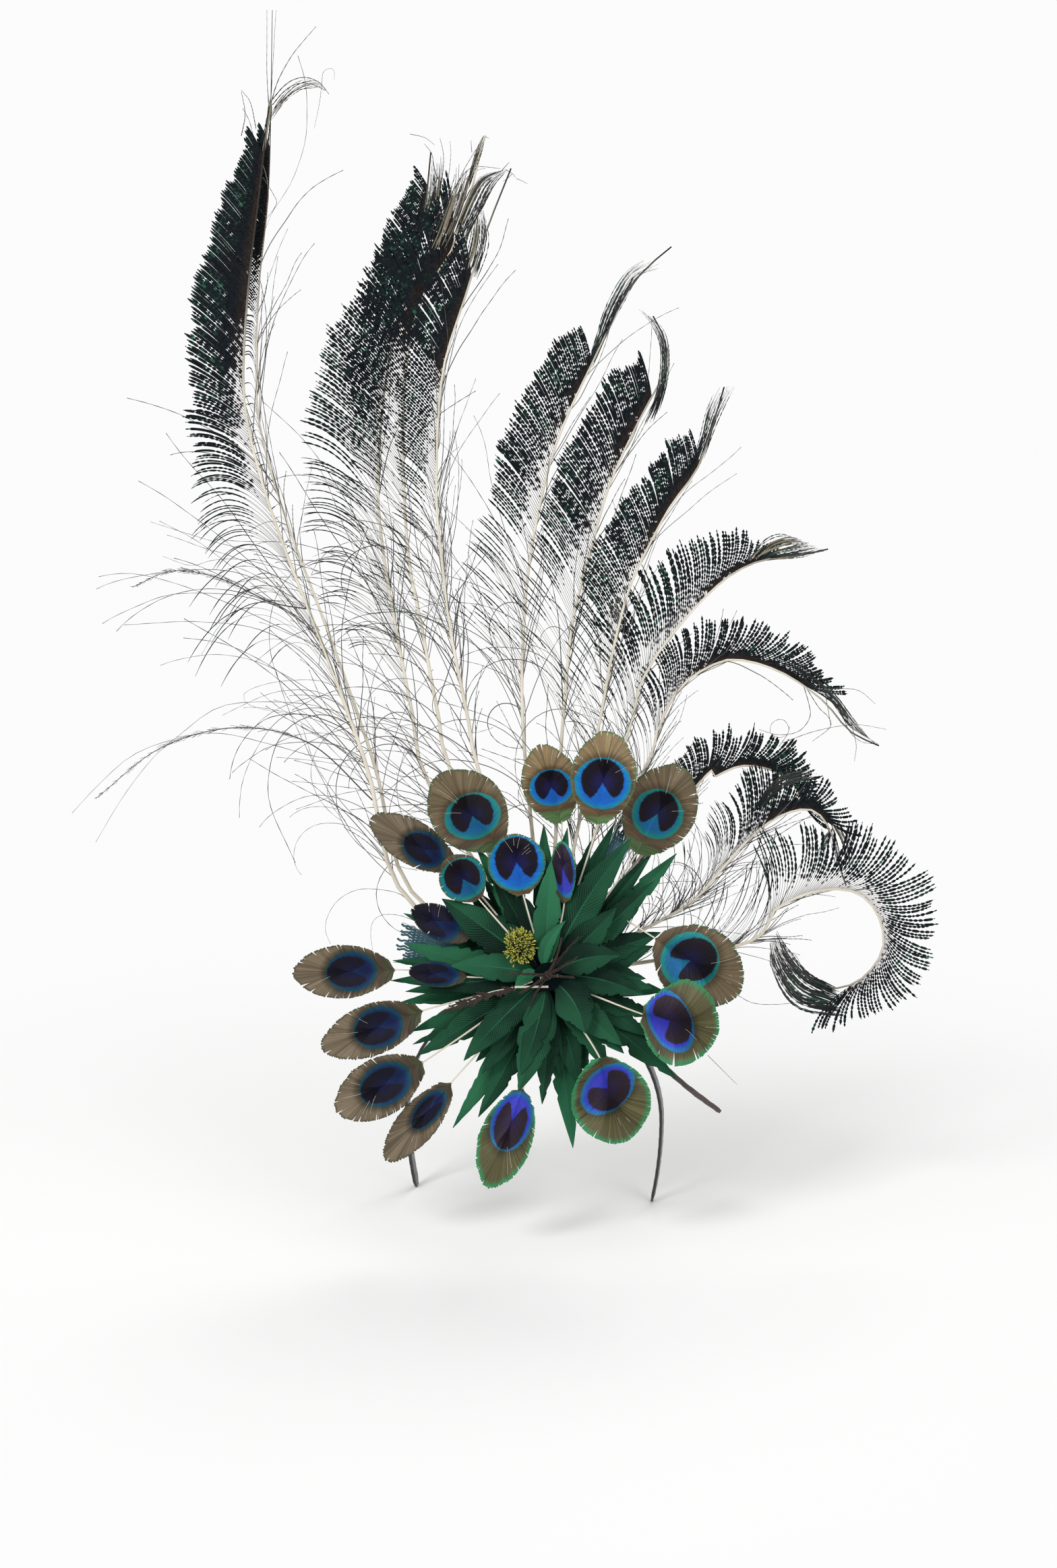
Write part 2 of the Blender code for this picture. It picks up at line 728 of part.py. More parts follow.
def make_splinter(material, collection):
    """A split dark quill that lies across the lower left leaves."""
    seat = seat_towards(*SPLINTER_POINTS[0])
    path = Path([seat, *SPLINTER_POINTS])
    rows = 10

    def place(row, column):
        centre, travel = path.at(row / rows)
        toothed = 1.0 if row % 2 else 0.6
        half = SPLINTER_WIDTH / 2 * (toothed if column else 0.5)
        spot = centre + Vector((-travel.y, travel.x)) * half * (2 * column - 1)
        return layer_point(spot.x, spot.y, SPLINTER_LAYER), 1.0

    mesh = bmesh.new()
    add_sheet(mesh, rows, 1, place)
    made = new_object("quill_splinter", mesh, material, collection)
    thicken(made, 1.0)
    return made


def main():
    """Clears the scene and builds the hat."""
    for old in list(bpy.data.objects):
        bpy.data.objects.remove(old)
    hat = bpy.data.collections.new("peacock_fascinator")
    helpers = bpy.data.collections.new("helpers")
    bpy.context.scene.collection.children.link(hat)
    bpy.context.scene.collection.children.link(helpers)

    satin = new_material("black_satin", (0.012, 0.011, 0.012), 0.45)
    felt = new_material("dark_felt", (0.020, 0.022, 0.024), 0.95)
    tape = new_material("stem_tape", (0.075, 0.056, 0.055), 0.7)
    leaf = new_material("green_feather", (0.016, 0.135, 0.070), 0.55)
    eye = new_material("eye_feather", (0.100, 0.075, 0.030), 0.5)
    sword = new_material("sword_feather", (0.045, 0.045, 0.042), 0.55)
    net = new_material("stiff_net", (0.030, 0.090, 0.120), 0.7)
    stamen = new_material("stamen_yellow", (0.360, 0.330, 0.040), 0.6)
    stem = new_material("dark_stem", (0.060, 0.045, 0.030), 0.6)

    make_headband(satin, hat)
    make_pad(felt, hat, helpers)
    layer_prism("feather_core", CORE_RADIUS, CORE_BACK, CORE_FRONT - GAP / 2, tape, hat)
    for number in RINGS:
        make_leaf_ring(number, leaf, hat, helpers)
    for number, row in enumerate(EYES, 1):
        make_eye(number, row, eye, hat)
    for number, row in enumerate(SWORDS, 1):
        make_sword(number, row, sword, hat)
    for number, (share, points) in enumerate(LOOSE_BARBS, 1):
        make_loose_barb(number, share, points, sword, hat)
    for name, (end, width) in NETS.items():
        make_net(name, end, width, net, hat)
    make_taped_stem(tape, hat)
    make_tuft(stamen, hat, helpers)
    make_knot(stem, hat, helpers)
    make_splinter(stem, hat)


main()
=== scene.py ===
"""The looks of the peacock feather fascinator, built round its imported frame.

Every feather is made of its own barbs. A barb, a quill, a thread or a stamen is one slim closed
strand: a small prism from bmesh operators, repeated in one mesh and then bent along its line.
Leaves are thin blades made the same way from a grid. Sizes are millimetres until a mesh is placed.
"""

from __future__ import annotations

import logging
import math
from collections.abc import Callable, Sequence
from dataclasses import dataclass
from enum import Enum
from functools import cached_property

import bmesh
import bpy
import numpy as np
from mathutils import Matrix, Vector

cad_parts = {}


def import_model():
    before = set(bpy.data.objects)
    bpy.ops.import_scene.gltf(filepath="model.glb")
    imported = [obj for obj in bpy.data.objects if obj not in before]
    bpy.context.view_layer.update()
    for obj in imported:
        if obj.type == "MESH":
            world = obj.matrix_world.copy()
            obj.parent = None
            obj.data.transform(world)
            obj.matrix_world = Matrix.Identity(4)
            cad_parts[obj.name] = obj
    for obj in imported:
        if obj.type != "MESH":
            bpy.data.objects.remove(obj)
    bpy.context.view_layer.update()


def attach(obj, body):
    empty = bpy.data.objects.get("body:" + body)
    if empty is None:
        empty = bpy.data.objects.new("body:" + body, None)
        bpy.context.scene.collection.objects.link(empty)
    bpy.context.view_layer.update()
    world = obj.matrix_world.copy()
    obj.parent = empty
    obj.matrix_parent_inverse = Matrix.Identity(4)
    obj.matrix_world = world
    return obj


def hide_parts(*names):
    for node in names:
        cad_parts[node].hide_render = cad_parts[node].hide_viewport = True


LOG = logging.getLogger("fascinator")
MM = 0.001
draws = np.random.default_rng

Array = np.ndarray
Measure = float | np.ndarray
Triple = tuple[float, float, float]
Spot = tuple[float, float]
Spots = tuple[Spot, ...]
Mesh, Material, Model = bpy.types.Mesh, bpy.types.Material, bpy.types.Object
Node, Socket, Tree = bpy.types.Node, bpy.types.NodeSocket, bpy.types.NodeTree

BLACK: Triple = (0.0, 0.0, 0.0)


def course(text: str) -> Spots:
    """The spots of a line that is written as pairs of numbers, with commas between the pairs."""
    return tuple((float(u), float(v)) for u, v in map(str.split, text.split(",")))


def unit(vectors: Array) -> Array:
    """Scales vectors to length one."""
    return vectors / np.maximum(np.linalg.norm(vectors, axis=-1, keepdims=True), 1e-12)


def smooth(low: Measure, high: Measure, value: Measure) -> Array:
    """A soft step from 0 at low to 1 at high."""
    share = np.clip((value - low) / (high - low), 0.0, 1.0)
    return share * share * (3.0 - 2.0 * share)


@dataclass(frozen=True)
class Spray:
    """The spray's own axes: u across, v up and w towards the viewer, from the flower's heart.

    Its layers, the w values, open outwards like pages, and the tall feathers lean back.
    """

    heart: Triple = (16.0, -48.0, 22.5)
    face_turn: float = math.radians(10.0)
    face_rise: float = math.radians(12.0)
    layer_spread: float = 1.2
    spread_reach: float = 60.0
    lean_depth: float = 22.0
    lean_height: float = 70.0
    sweep_depth: float = 34.0
    sweep_reach: float = 530.0
    view_distance: float = 1500.0
    view_u: float = -10.4
    view_v: float = 106.0
    collar_radius: float = 8.0
    seat: float = 8.4
    reach_low: Spot = (-262.0, -85.0)
    reach_high: Spot = (212.0, 548.0)

    @property
    def toward(self) -> Array:
        """The direction from the flower to the viewer."""
        level = math.cos(self.face_rise)
        return np.array((math.sin(self.face_turn) * level, -math.cos(self.face_turn) * level,
                         math.sin(self.face_rise)))

    @property
    def across(self) -> Array:
        """The direction of u."""
        return np.array((math.cos(self.face_turn), math.sin(self.face_turn), 0.0))

    @property
    def upward(self) -> Array:
        """The direction of v."""
        return np.cross(self.toward, self.across)

    def opening(self, spots: Array) -> Array:
        """How far apart two layers lie at those spots, in millimetres for each step of w."""
        reach = np.hypot(spots[..., 0], spots[..., 1])
        return 1 + self.layer_spread * (1 - np.exp(-reach / self.spread_reach))

    def place(self, spots: Array) -> Array:
        """Finds spots of the spray in the frame.

        Args:
            spots: u, v and w on the last axis, in millimetres.

        Returns:
            Their points in the row frame, in metres.
        """
        u, v, w = np.moveaxis(spots, -1, 0)
        lean = -self.lean_depth * np.tanh(v / self.lean_height)
        sweep = -self.sweep_depth * (u * u + v * v) / self.sweep_reach**2
        depth = lean + sweep + w * self.opening(spots)
        scale = 1 - depth / self.view_distance
        wide = self.view_u + (u - self.view_u) * scale
        high = self.view_v + (v - self.view_v) * scale
        return MM * (np.array(self.heart) + wide[..., None] * self.across
                     + high[..., None] * self.upward + depth[..., None] * self.toward)

    def front(self, spots: Array) -> Array:
        """The way the front of the layer faces at those spots.

        Args:
            spots: u, v and w on the last axis.

        Returns:
            Unit vectors.
        """
        step_u, step_v = np.eye(3)[:2]
        along_u = self.place(spots + step_u) - self.place(spots - step_u)
        along_v = self.place(spots + step_v) - self.place(spots - step_v)
        return unit(np.cross(along_u, along_v))

    def lift(self, spots: Array, height: Measure) -> Array:
        """Moves spots towards the viewer by a real height in millimetres."""
        lifted = spots.copy()
        lifted[..., 2] += height / self.opening(spots)
        return lifted

    def seat_towards(self, u: float, v: float) -> Spot:
        """The spot on the collar's side that faces another spot."""
        reach = math.hypot(u, v)
        return u / reach * self.seat, v / reach * self.seat

    def within_reach(self, line: Array) -> Array:
        """Shrinks lines about their starts, where needed, so that they stay in the hat's own size.

        Args:
            line: u and v of each line, as (lines, rows + 1, 2).

        Returns:
            The shrunk lines.
        """
        start = line[:, :1]
        away = line - start
        room = np.where(away > 0, np.array(self.reach_high) - start, start - np.array(self.reach_low))
        share = np.min(room / np.maximum(np.abs(away), 1e-6), axis=(1, 2), initial=1.0)
        return start + away * share[:, None, None]


SPRAY = Spray()


class Route:
    """A smooth line in u and v through a few points, read by shares of its length."""

    STEPS = 12

    def __init__(self, points: Sequence[Spot]) -> None:
        """Works out the line.

        Args:
            points: the u and v that it passes, from root to tip.
        """
        knots = np.array(points, float)
        knots = np.vstack((2 * knots[0] - knots[1], knots, 2 * knots[-1] - knots[-2]))
        t = np.linspace(0.0, 1.0, self.STEPS, endpoint=False)[:, None]
        pieces = [0.5 * (2 * start + (end - before) * t + (2 * before - 5 * start + 4 * end - after) * t**2
                         + (3 * start - before - 3 * end + after) * t**3)
                  for before, start, end, after in zip(knots, knots[1:], knots[2:], knots[3:])]
        self.dense = np.vstack((*pieces, knots[-2]))
        steps = np.linalg.norm(np.diff(self.dense, axis=0), axis=1)
        self.reach = np.concatenate(([0.0], np.cumsum(steps)))
        self.length = float(self.reach[-1])

    def at(self, share: Array) -> Array:
        """The spots at shares of the length.

        Args:
            share: shares of the length, which may run a little past the tip.

        Returns:
            u and v on the last axis.
        """
        wanted = np.asarray(share, float) * self.length
        inside = np.stack([np.interp(wanted, self.reach, self.dense[:, k]) for k in (0, 1)], axis=-1)
        past = np.maximum(wanted - self.length, 0.0)[..., None]
        return inside + past * unit(self.dense[-1] - self.dense[-2])

    def travel(self, share: Array, step: float = 0.01) -> Array:
        """The direction of travel there, as unit vectors, over a step to either side."""
        share = np.clip(np.asarray(share, float), 0.0, 1.0)
        return unit(self.at(np.minimum(share + step, 1.0)) - self.at(np.maximum(share - step, 0.0)))


def leftward(travel: Array) -> Array:
    """The direction a quarter turn to the left of travel, in u and v."""
    return np.stack((-travel[..., 1], travel[..., 0]), axis=-1)


def bearing_of(travel: Array) -> Array:
    """The angle of a direction from u, in radians."""
    return np.arctan2(travel[..., 1], travel[..., 0])


def towards(angle: Measure) -> Array:
    """The direction at an angle from u, as unit vectors."""
    return np.stack((np.cos(angle), np.sin(angle)), axis=-1)


def with_layer(spots: Array, layer: Measure) -> Array:
    """Adds the layer to spots that hold only u and v."""
    return np.concatenate((spots, np.broadcast_to(layer, spots.shape[:-1])[..., None]), axis=-1)


def bow(start: Array, middle: Array, end: Array, share: Array) -> Array:
    """Spots on the curve from start to end that leans towards middle."""
    return (1 - share)**2 * start + 2 * share * (1 - share) * middle + share * share * end


def wander(start: Array, heading: Array, turning: Array, length: Array) -> Array:
    """Lines that start somewhere and turn steadily as they go, as loose barbs do.

    Args:
        start: u and v of each line's start, as (lines, 2).
        heading: the first direction of each, in radians from u.
        turning: how much each turns at every row, as (lines, rows).
        length: each line's length in millimetres.

    Returns:
        u and v along each line, as (lines, rows + 1, 2).
    """
    steps = towards(heading[:, None] + np.cumsum(turning, axis=1))
    steps = steps * (length / turning.shape[1])[:, None, None]
    return start[:, None] + np.concatenate((np.zeros((len(start), 1, 2)), np.cumsum(steps, axis=1)), axis=1)


def lock_middles(lines: Array, lock: Array) -> Array:
    """For each line, the mean line of the lock of barbs that it belongs to."""
    sums = np.zeros(lines.shape)
    np.add.at(sums, lock, lines)
    return sums[lock] / np.bincount(lock, minlength=len(lines))[lock][:, None, None]


class Repeats:
    """One small mesh, the cell, repeated many times in a single mesh whose points are then placed."""

    POINT_VALUES = ("along", "tone", "herl", "rise")

    def draw(self, cell: bmesh.types.BMesh) -> None:
        """Draws the shape that is repeated, which each kind does in its own way."""
        raise NotImplementedError

    @cached_property
    def cell(self) -> Mesh:
        """The shape that is repeated, made at its first use.

        Returns:
            The cell's mesh.
        """
        drawn, mesh = bmesh.new(), bpy.data.meshes.new("cell")
        self.draw(drawn)
        drawn.to_mesh(mesh)
        drawn.free()
        return mesh

    @cached_property
    def spots(self) -> Array:
        """The points of the cell."""
        return np.array([vert.co for vert in self.cell.vertices], float)

    def repeat(self, points: Array, under: Array | None = None, disc: Array | None = None,
               round_off: bool = False, **values: Measure) -> Mesh:
        """Makes the mesh.

        Args:
            points: where each point of each copy goes, as (copies, cell points, 3), in metres.
            under: 1 for each face of the cell that faces back, else 0.
            disc: a vector for each point, for a pattern that follows the surface.
            round_off: True to shade the faces smooth.
            values: named values for the material, which fit (copies, cell points).

        Returns:
            The mesh of all the copies.
        """
        joined, mesh = bmesh.new(), bpy.data.meshes.new("repeats")
        for _ in points:
            joined.from_mesh(self.cell)
        joined.to_mesh(mesh)
        joined.free()
        mesh.attributes["position"].data.foreach_set("vector", points.astype(np.float32).ravel())
        faces = np.zeros(len(self.cell.polygons)) if under is None else under
        held = {name: ("FLOAT", "POINT", np.broadcast_to(values.get(name, 0.0), points.shape[:2]))
                for name in self.POINT_VALUES}
        held["under"] = "FLOAT", "FACE", np.tile(faces, len(points))
        held["disc"] = "FLOAT_VECTOR", "POINT", np.zeros(points.shape) if disc is None else disc
        for name, (kind, domain, numbers) in held.items():
            layer = mesh.attributes.new(name, kind, domain)
            numbers = numbers.astype(np.float32).ravel()
            layer.data.foreach_set("value" if kind == "FLOAT" else "vector", numbers)
        mesh.shade_smooth() if round_off else mesh.shade_flat()
        mesh.update()
        return mesh


@dataclass(frozen=True)
class Strands(Repeats):
    """Slim closed strands: prisms of a few sides, cut into rows and bent along their lines.

    Squareness is 1 for a round section, and less for a flat one with round edges.
    """

    sides: int
    rows: int
    squareness: float = 1.0

    def draw(self, cell: bmesh.types.BMesh) -> None:
        """Draws the prism."""
        bmesh.ops.create_cone(cell, cap_ends=True, segments=self.sides, radius1=1.0, radius2=1.0, depth=1.0)
        long_edges = [edge for edge in cell.edges if abs(edge.verts[0].co.z - edge.verts[1].co.z) > 0.5]
        bmesh.ops.subdivide_edges(cell, edges=long_edges, cuts=self.rows - 1)

    @cached_property
    def row(self) -> Array:
        """The row of each point of the cell."""
        return np.rint((self.spots[:, 2] + 0.5) * self.rows).astype(int)

    @cached_property
    def angle(self) -> Array:
        """The angle of each point of the cell round the strand's middle."""
        return bearing_of(self.spots)

    @property
    def shares(self) -> Array:
        """The share of the length at each row."""
        return np.linspace(0.0, 1.0, self.rows + 1)

    @property
    def rows_to_end(self) -> Array:
        """How many rows each row lies from the nearer end."""
        rows = np.arange(self.rows + 1.0)
        return np.minimum(rows, self.rows - rows)

    def winding(self, turns: float, depth: float) -> dict[str, Array]:
        """The relief of a tape that is wound round the strand.

        Args:
            turns: how many turns it makes.
            depth: how far one turn stands over the next, in millimetres.

        Returns:
            How far each point stands out, and as its rise the place across the tape.
        """
        across = (self.row / self.rows * turns + self.angle / math.tau) % 1.0
        return {"stand_out": depth * smooth(0.0, 0.12, across) * (1 - 0.8 * across), "rise": across}

    def by_point(self, value: Measure, shape: tuple[int, int]) -> Array:
        """Spreads a value by row, or by point of the cell, over the points of all the strands."""
        if np.shape(value)[-1:] == self.row.shape:
            return np.broadcast_to(value, (shape[0], len(self.row)))
        return np.broadcast_to(value, shape)[:, self.row]

    def bend(self, line: Array, front: Array, half: Measure, thick: Measure, roll: Measure = 0.0,
             disc: Callable[[Array], Array] | None = None, stand_out: Measure = 0.0,
             **values: Measure) -> Mesh:
        """Bends the strands along their lines.

        Args:
            line: the middle of each strand, as (strands, rows + 1, 3), in metres.
            front: the way its flat side faces.
            half: half its width in millimetres.
            thick: half its thickness in millimetres.
            roll: how far it is turned about its own line, in radians.
            disc: what finds a vector for each point of the mesh.
            stand_out: how far each point of the cell stands out further, in millimetres.
            values: named values for the material, by row or by point of the cell.

        Returns:
            The mesh of all the strands.
        """
        shape = line.shape[:2]
        tangent = unit(np.gradient(line, axis=1))
        left_way = unit(np.cross(front, tangent))
        front_way = np.cross(tangent, left_way)
        turn = np.broadcast_to(roll, shape)[..., None]
        rolled_left = left_way * np.cos(turn) + front_way * np.sin(turn)
        rolled_front = front_way * np.cos(turn) - left_way * np.sin(turn)
        x, y = self.spots[:, 0] / np.abs(self.spots[:, 0]).max(), self.spots[:, 1]
        cross, high = (np.sign(side) * np.abs(side)**self.squareness for side in (x, y))
        wide = cross * self.by_point(half, shape) + np.cos(self.angle) * stand_out
        high = high * self.by_point(thick, shape) + np.sin(self.angle) * stand_out
        points = line[:, self.row] + MM * (rolled_left[:, self.row] * wide[..., None]
                                           + rolled_front[:, self.row] * high[..., None])
        under = np.array([float(face.normal.y < -0.5) for face in self.cell.polygons])
        return self.repeat(points, under, disc(points) if disc else None, self.sides > 4,
                           **{name: self.by_point(value, shape) for name, value in values.items()})

    def lay(self, spots: Array, half: Measure, thick: Measure, **more: object) -> Mesh:
        """Bends strands whose lines are given in the spray, facing the viewer."""
        return self.bend(SPRAY.place(spots), SPRAY.front(spots), half, thick, **more)


@dataclass(frozen=True)
class Blades(Repeats):
    """Thin blades: each is a grid of rows from root to tip and columns from side to side."""

    rows: int
    columns: int

    def draw(self, cell: bmesh.types.BMesh) -> None:
        """Draws the grid as a thin closed sheet."""
        bmesh.ops.create_grid(cell, x_segments=self.columns, y_segments=self.rows, size=0.5)
        bmesh.ops.solidify(cell, geom=cell.faces[:], thickness=0.01)
        bmesh.ops.recalc_face_normals(cell, faces=cell.faces)

    @property
    def side(self) -> Array:
        """From -1 at the right margin to 1 at the left, for each point."""
        return np.clip(self.spots[:, 0] * 2, -1.0, 1.0)

    @property
    def share(self) -> Array:
        """The share of the length, for each point."""
        return np.clip(self.spots[:, 1] + 0.5, 0.0, 1.0)

    @property
    def face(self) -> Array:
        """1 on the front face and -1 on the back, for each point."""
        return np.where(self.spots[:, 2] > self.spots[:, 2].mean(), 1.0, -1.0)


class Dome(Repeats):
    """A ball of fine faces, to be pressed into shape."""

    def draw(self, cell: bmesh.types.BMesh) -> None:
        """Draws the ball."""
        bmesh.ops.create_uvsphere(cell, u_segments=72, v_segments=40, radius=1.0)


BARB, HAIR, QUILL = Strands(3, 38), Strands(3, 22), Strands(8, 36)
RIBBON, STUB, THREAD = Strands(3, 10), Strands(5, 5), Strands(4, 60)
ROUND, BAND, BLADE = Strands(16, 60), Strands(24, 420, 0.45), Blades(44, 8)


def settle(name: str, slot: str, node: str, *parts: tuple[Mesh, Finish]) -> None:
    """Joins the parts of a piece, puts it in the scene and ties it to the frame.

    Args:
        name: the piece's name.
        slot: not used.
        node: the CAD node that it stands for.
        parts: its meshes, already in the row frame, each with its finish.
    """
    joined, mesh = bmesh.new(), bpy.data.meshes.new(name)
    for number, (part, finish) in enumerate(parts):
        part.polygons.foreach_set("material_index", np.full(len(part.polygons), number, np.int32))
        joined.from_mesh(part)
        mesh.materials.append(finish.material)
    joined.to_mesh(mesh)
    joined.free()
    piece = bpy.data.objects.new(name, mesh)
    bpy.context.scene.collection.objects.link(piece)
    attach(piece, "root")
    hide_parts(node)
    LOG.info("%s: %d faces, for %s", name, len(mesh.polygons), node)


class Sketch:
    """Adds and links the nodes of one shader tree."""

    def __init__(self, tree: Tree) -> None:
        """Keeps the tree."""
        self.tree = tree

    def node(self, kind: str, settings: dict[str, object] | None = None, **inputs: object) -> Node:
        """Adds a node.

        Args:
            kind: the node's type, without the words ShaderNode.
            settings: properties of the node itself.
            inputs: sockets by name, with _ for a space; each is a socket to link or a value.

        Returns:
            The node.
        """
        made = self.tree.nodes.new("ShaderNode" + kind)
        for name, value in (settings or {}).items():
            setattr(made, name, value)
        for name, value in inputs.items():
            self.feed(made.inputs[name.replace("_", " ")], value)
        return made

    def feed(self, socket: Socket, value: object) -> None:
        """Links a socket into another, or sets its value.

        Args:
            socket: the socket that takes it.
            value: a socket, a number or a colour.
        """
        if isinstance(value, Socket):
            self.tree.links.new(value, socket)
        elif isinstance(value, tuple) and len(value) == 3 and socket.type == "RGBA":
            socket.default_value = (*value, 1.0)
        else:
            socket.default_value = value

    def sum(self, operation: str, *terms: object, clamp: bool = False) -> Socket:
        """Adds one Math node.

        Args:
            operation: the node's operation.
            terms: sockets or numbers.
            clamp: True to hold the result between 0 and 1.

        Returns:
            The result's socket.
        """
        made = self.node("Math", {"operation": operation, "use_clamp": clamp})
        for socket, term in zip(made.inputs, terms):
            self.feed(socket, term)
        return made.outputs[0]

    def scaled(self, value: object, factor: object, offset: object = 0.0) -> Socket:
        """A value times a factor, plus an offset."""
        return self.sum("MULTIPLY_ADD", value, factor, offset)

    def times(self, first: object, second: object) -> Socket:
        """The product of two values."""
        return self.sum("MULTIPLY", first, second)

    def step(self, value: object, low: object, high: object) -> Socket:
        """A soft step from 0 at low to 1 at high."""
        return self.node("MapRange", {"interpolation_type": "SMOOTHSTEP"}, Value=value, From_Min=low,
                         From_Max=high).outputs["Result"]

    def mix(self, share: object, first: object, second: object, blend: str = "MIX") -> Socket:
        """Mixes two colours.

        Args:
            share: how much of the second.
            first: a colour.
            second: another.
            blend: the node's blend type.

        Returns:
            The colour's socket.
        """
        made = self.node("Mix", {"data_type": "RGBA", "blend_type": blend})
        for index, value in ((0, share), (6, first), (7, second)):
            self.feed(made.inputs[index], value)
        return made.outputs[2]

    def shaded(self, colour: object, share: Socket) -> Socket:
        """A colour multiplied by a number."""
        return self.mix(1.0, colour, share, "MULTIPLY")

    def value(self, name: str, output: str = "Fac") -> Socket:
        """A named value of the surface as a number, or by the output Vector as a vector."""
        return self.node("Attribute", {"attribute_name": name}).outputs[output]

    @property
    def place(self) -> Socket:
        """The Object coordinates."""
        return self.node("TexCoord").outputs["Object"]

    def effect(self, name: str, **inputs: object) -> Node:
        """Places a shared effect with its own values."""
        return self.node("Group", {"node_tree": bpy.data.node_groups[name]}, **inputs)

    def patches(self, patch: float, grain: float, contrast: float) -> tuple[Socket, Socket]:
        """The shared mottle's patches and grain, by their scales and the patches' contrast."""
        made = self.effect("mottle", Vector=self.place, Patch_Scale=patch, Grain_Scale=grain,
                           Contrast=contrast)
        return made.outputs["Patch"], made.outputs["Grain"]


class Effect(Sketch):
    """A sketch on a shader node group that several finishes share."""

    IRIS_COLOURS = ("Core", "Pupil", "Notch", "Ring", "Ring Edge", "Halo", "Ground", "Rim")

    def __init__(self, name: str, inputs: dict[str, float | str], outputs: dict[str, str]) -> None:
        """Starts the group.

        Args:
            name: the effect's name.
            inputs: each input's default as a number, or else its kind of socket.
            outputs: each output's kind of socket.
        """
        super().__init__(bpy.data.node_groups.new(name, "ShaderNodeTree"))
        for label, given in inputs.items():
            kind = given if isinstance(given, str) else "Float"
            socket = self.tree.interface.new_socket(label, in_out="INPUT", socket_type="NodeSocket" + kind)
            if kind == "Float":
                socket.default_value = given
        for label, kind in outputs.items():
            self.tree.interface.new_socket(label, in_out="OUTPUT", socket_type="NodeSocket" + kind)
        self.given = self.tree.nodes.new("NodeGroupInput").outputs
        self.out = self.tree.nodes.new("NodeGroupOutput").inputs

    def noise(self, place: str, scale: object, detail: float) -> Socket:
        """Noise at the given place."""
        return self.node("TexNoise", Vector=self.given[place], Scale=scale, Detail=detail).outputs[0]

    @classmethod
    def mottle(cls) -> None:
        """Builds soft patches in space, as a share from 0 to 1, and a fine grain."""
        made = cls("mottle", {"Vector": "Vector", "Patch Scale": 60.0, "Grain Scale": 900.0, "Contrast": 0.2},
                   {"Patch": "Float", "Grain": "Float"})
        given = made.given
        broad = made.noise("Vector", given["Patch Scale"], 3.0)
        low, high = (made.sum(way, 0.5, given["Contrast"]) for way in ("SUBTRACT", "ADD"))
        made.feed(made.out["Patch"], made.step(broad, low, high))
        made.feed(made.out["Grain"], made.noise("Vector", given["Grain Scale"], 2.0))

    @classmethod
    def threads(cls) -> None:
        """Builds fine lines along a surface, bent by noise, from 0 in a furrow to 1 on a thread."""
        made = cls("threads", {"Along": 0.0, "Count": 60.0, "Vector": "Vector", "Waver": 0.6,
                               "Waver Scale": 150.0}, {"Line": "Float"})
        given = made.given
        bend = made.times(made.noise("Vector", given["Waver Scale"], 2.0), given["Waver"])
        phase = made.sum("ADD", made.times(given["Along"], given["Count"]), bend)
        made.feed(made.out["Line"], made.scaled(made.sum("SINE", made.times(phase, math.tau)), 0.5, 0.5))

    @classmethod
    def iris(cls) -> None:
        """Builds the peacock's eye: a heart-shaped pupil in a bright ring, on a bronze ground.

        Disc is x across and y towards the tip, both in rings' radii from the ring's middle.
        """
        made = cls("peacock iris", {"Disc": "Vector", "Along": 0.0, "Tone": 0.5, "Place": "Vector",
                                    "Rim From": 0.93, **{name: "Color" for name in cls.IRIS_COLOURS}},
                   {"Color": "Color", "Shine": "Float"})
        given, scaled, step, mix = made.given, made.scaled, made.step, made.mix
        tone, halo, rim = given["Tone"], given["Halo"], given["Rim"]
        own = made.sum("SUBTRACT", tone, 0.5)
        wobble = scaled(made.sum("SUBTRACT", made.noise("Place", 420.0, 3.0), 0.5), 0.1, scaled(own, 0.035))
        x, y = made.node("SeparateXYZ", Vector=given["Disc"]).outputs[:2]

        def distance(across: float, along: float, up: float) -> Socket:
            """How far a place is from an ellipse's middle, in its own radii."""
            wide, high = scaled(x, 1 / across), scaled(y, 1 / along, -up / along)
            return made.sum("SQRT", scaled(wide, wide, made.times(high, high)))

        ring = made.sum("ADD", distance(1.0, 1.0, 0.0), wobble)
        wedge = made.sum("SUBTRACT", scaled(y, -0.6), made.sum("ABSOLUTE", x))
        lobes = scaled(distance(0.76, 0.86, 0.1), 1.0, -1.0)
        inside = made.sum("SMOOTH_MAX", lobes, scaled(wedge, 1.3), 0.45)
        inside = made.sum("ADD", inside, wobble)
        low = made.times(step(y, 0.05, -0.55), step(ring, 0.95, 0.6))
        ring_colour = mix(low, given["Ring"], given["Notch"])
        ring_colour = mix(step(ring, 0.78, 0.97), ring_colour, given["Ring Edge"])
        pupil = mix(step(distance(0.62, 0.62, 0.02), 1.0, 0.1), given["Pupil"], given["Core"])
        colour = mix(step(inside, -0.04, 0.05), pupil, ring_colour)
        ground = mix(step(ring, 1.02, 1.35), halo, given["Ground"])
        low = made.sum("ADD", y, scaled(wobble, 1.5))
        ground = mix(step(low, -0.75, -1.1), ground, halo)
        ground = mix(step(low, -1.22, -1.4), ground, rim)
        outside = step(ring, 0.98, 1.04)
        colour = mix(outside, made.shaded(colour, scaled(tone, 0.24, 0.88)),
                     made.shaded(ground, scaled(tone, 0.85, 0.55)))
        at_rim = step(scaled(own, 0.03, given["Along"]), given["Rim From"], 1.0)
        made.feed(made.out["Color"], mix(at_rim, colour, rim))
        made.feed(made.out["Shine"], made.sum("SUBTRACT", 1.0, outside))


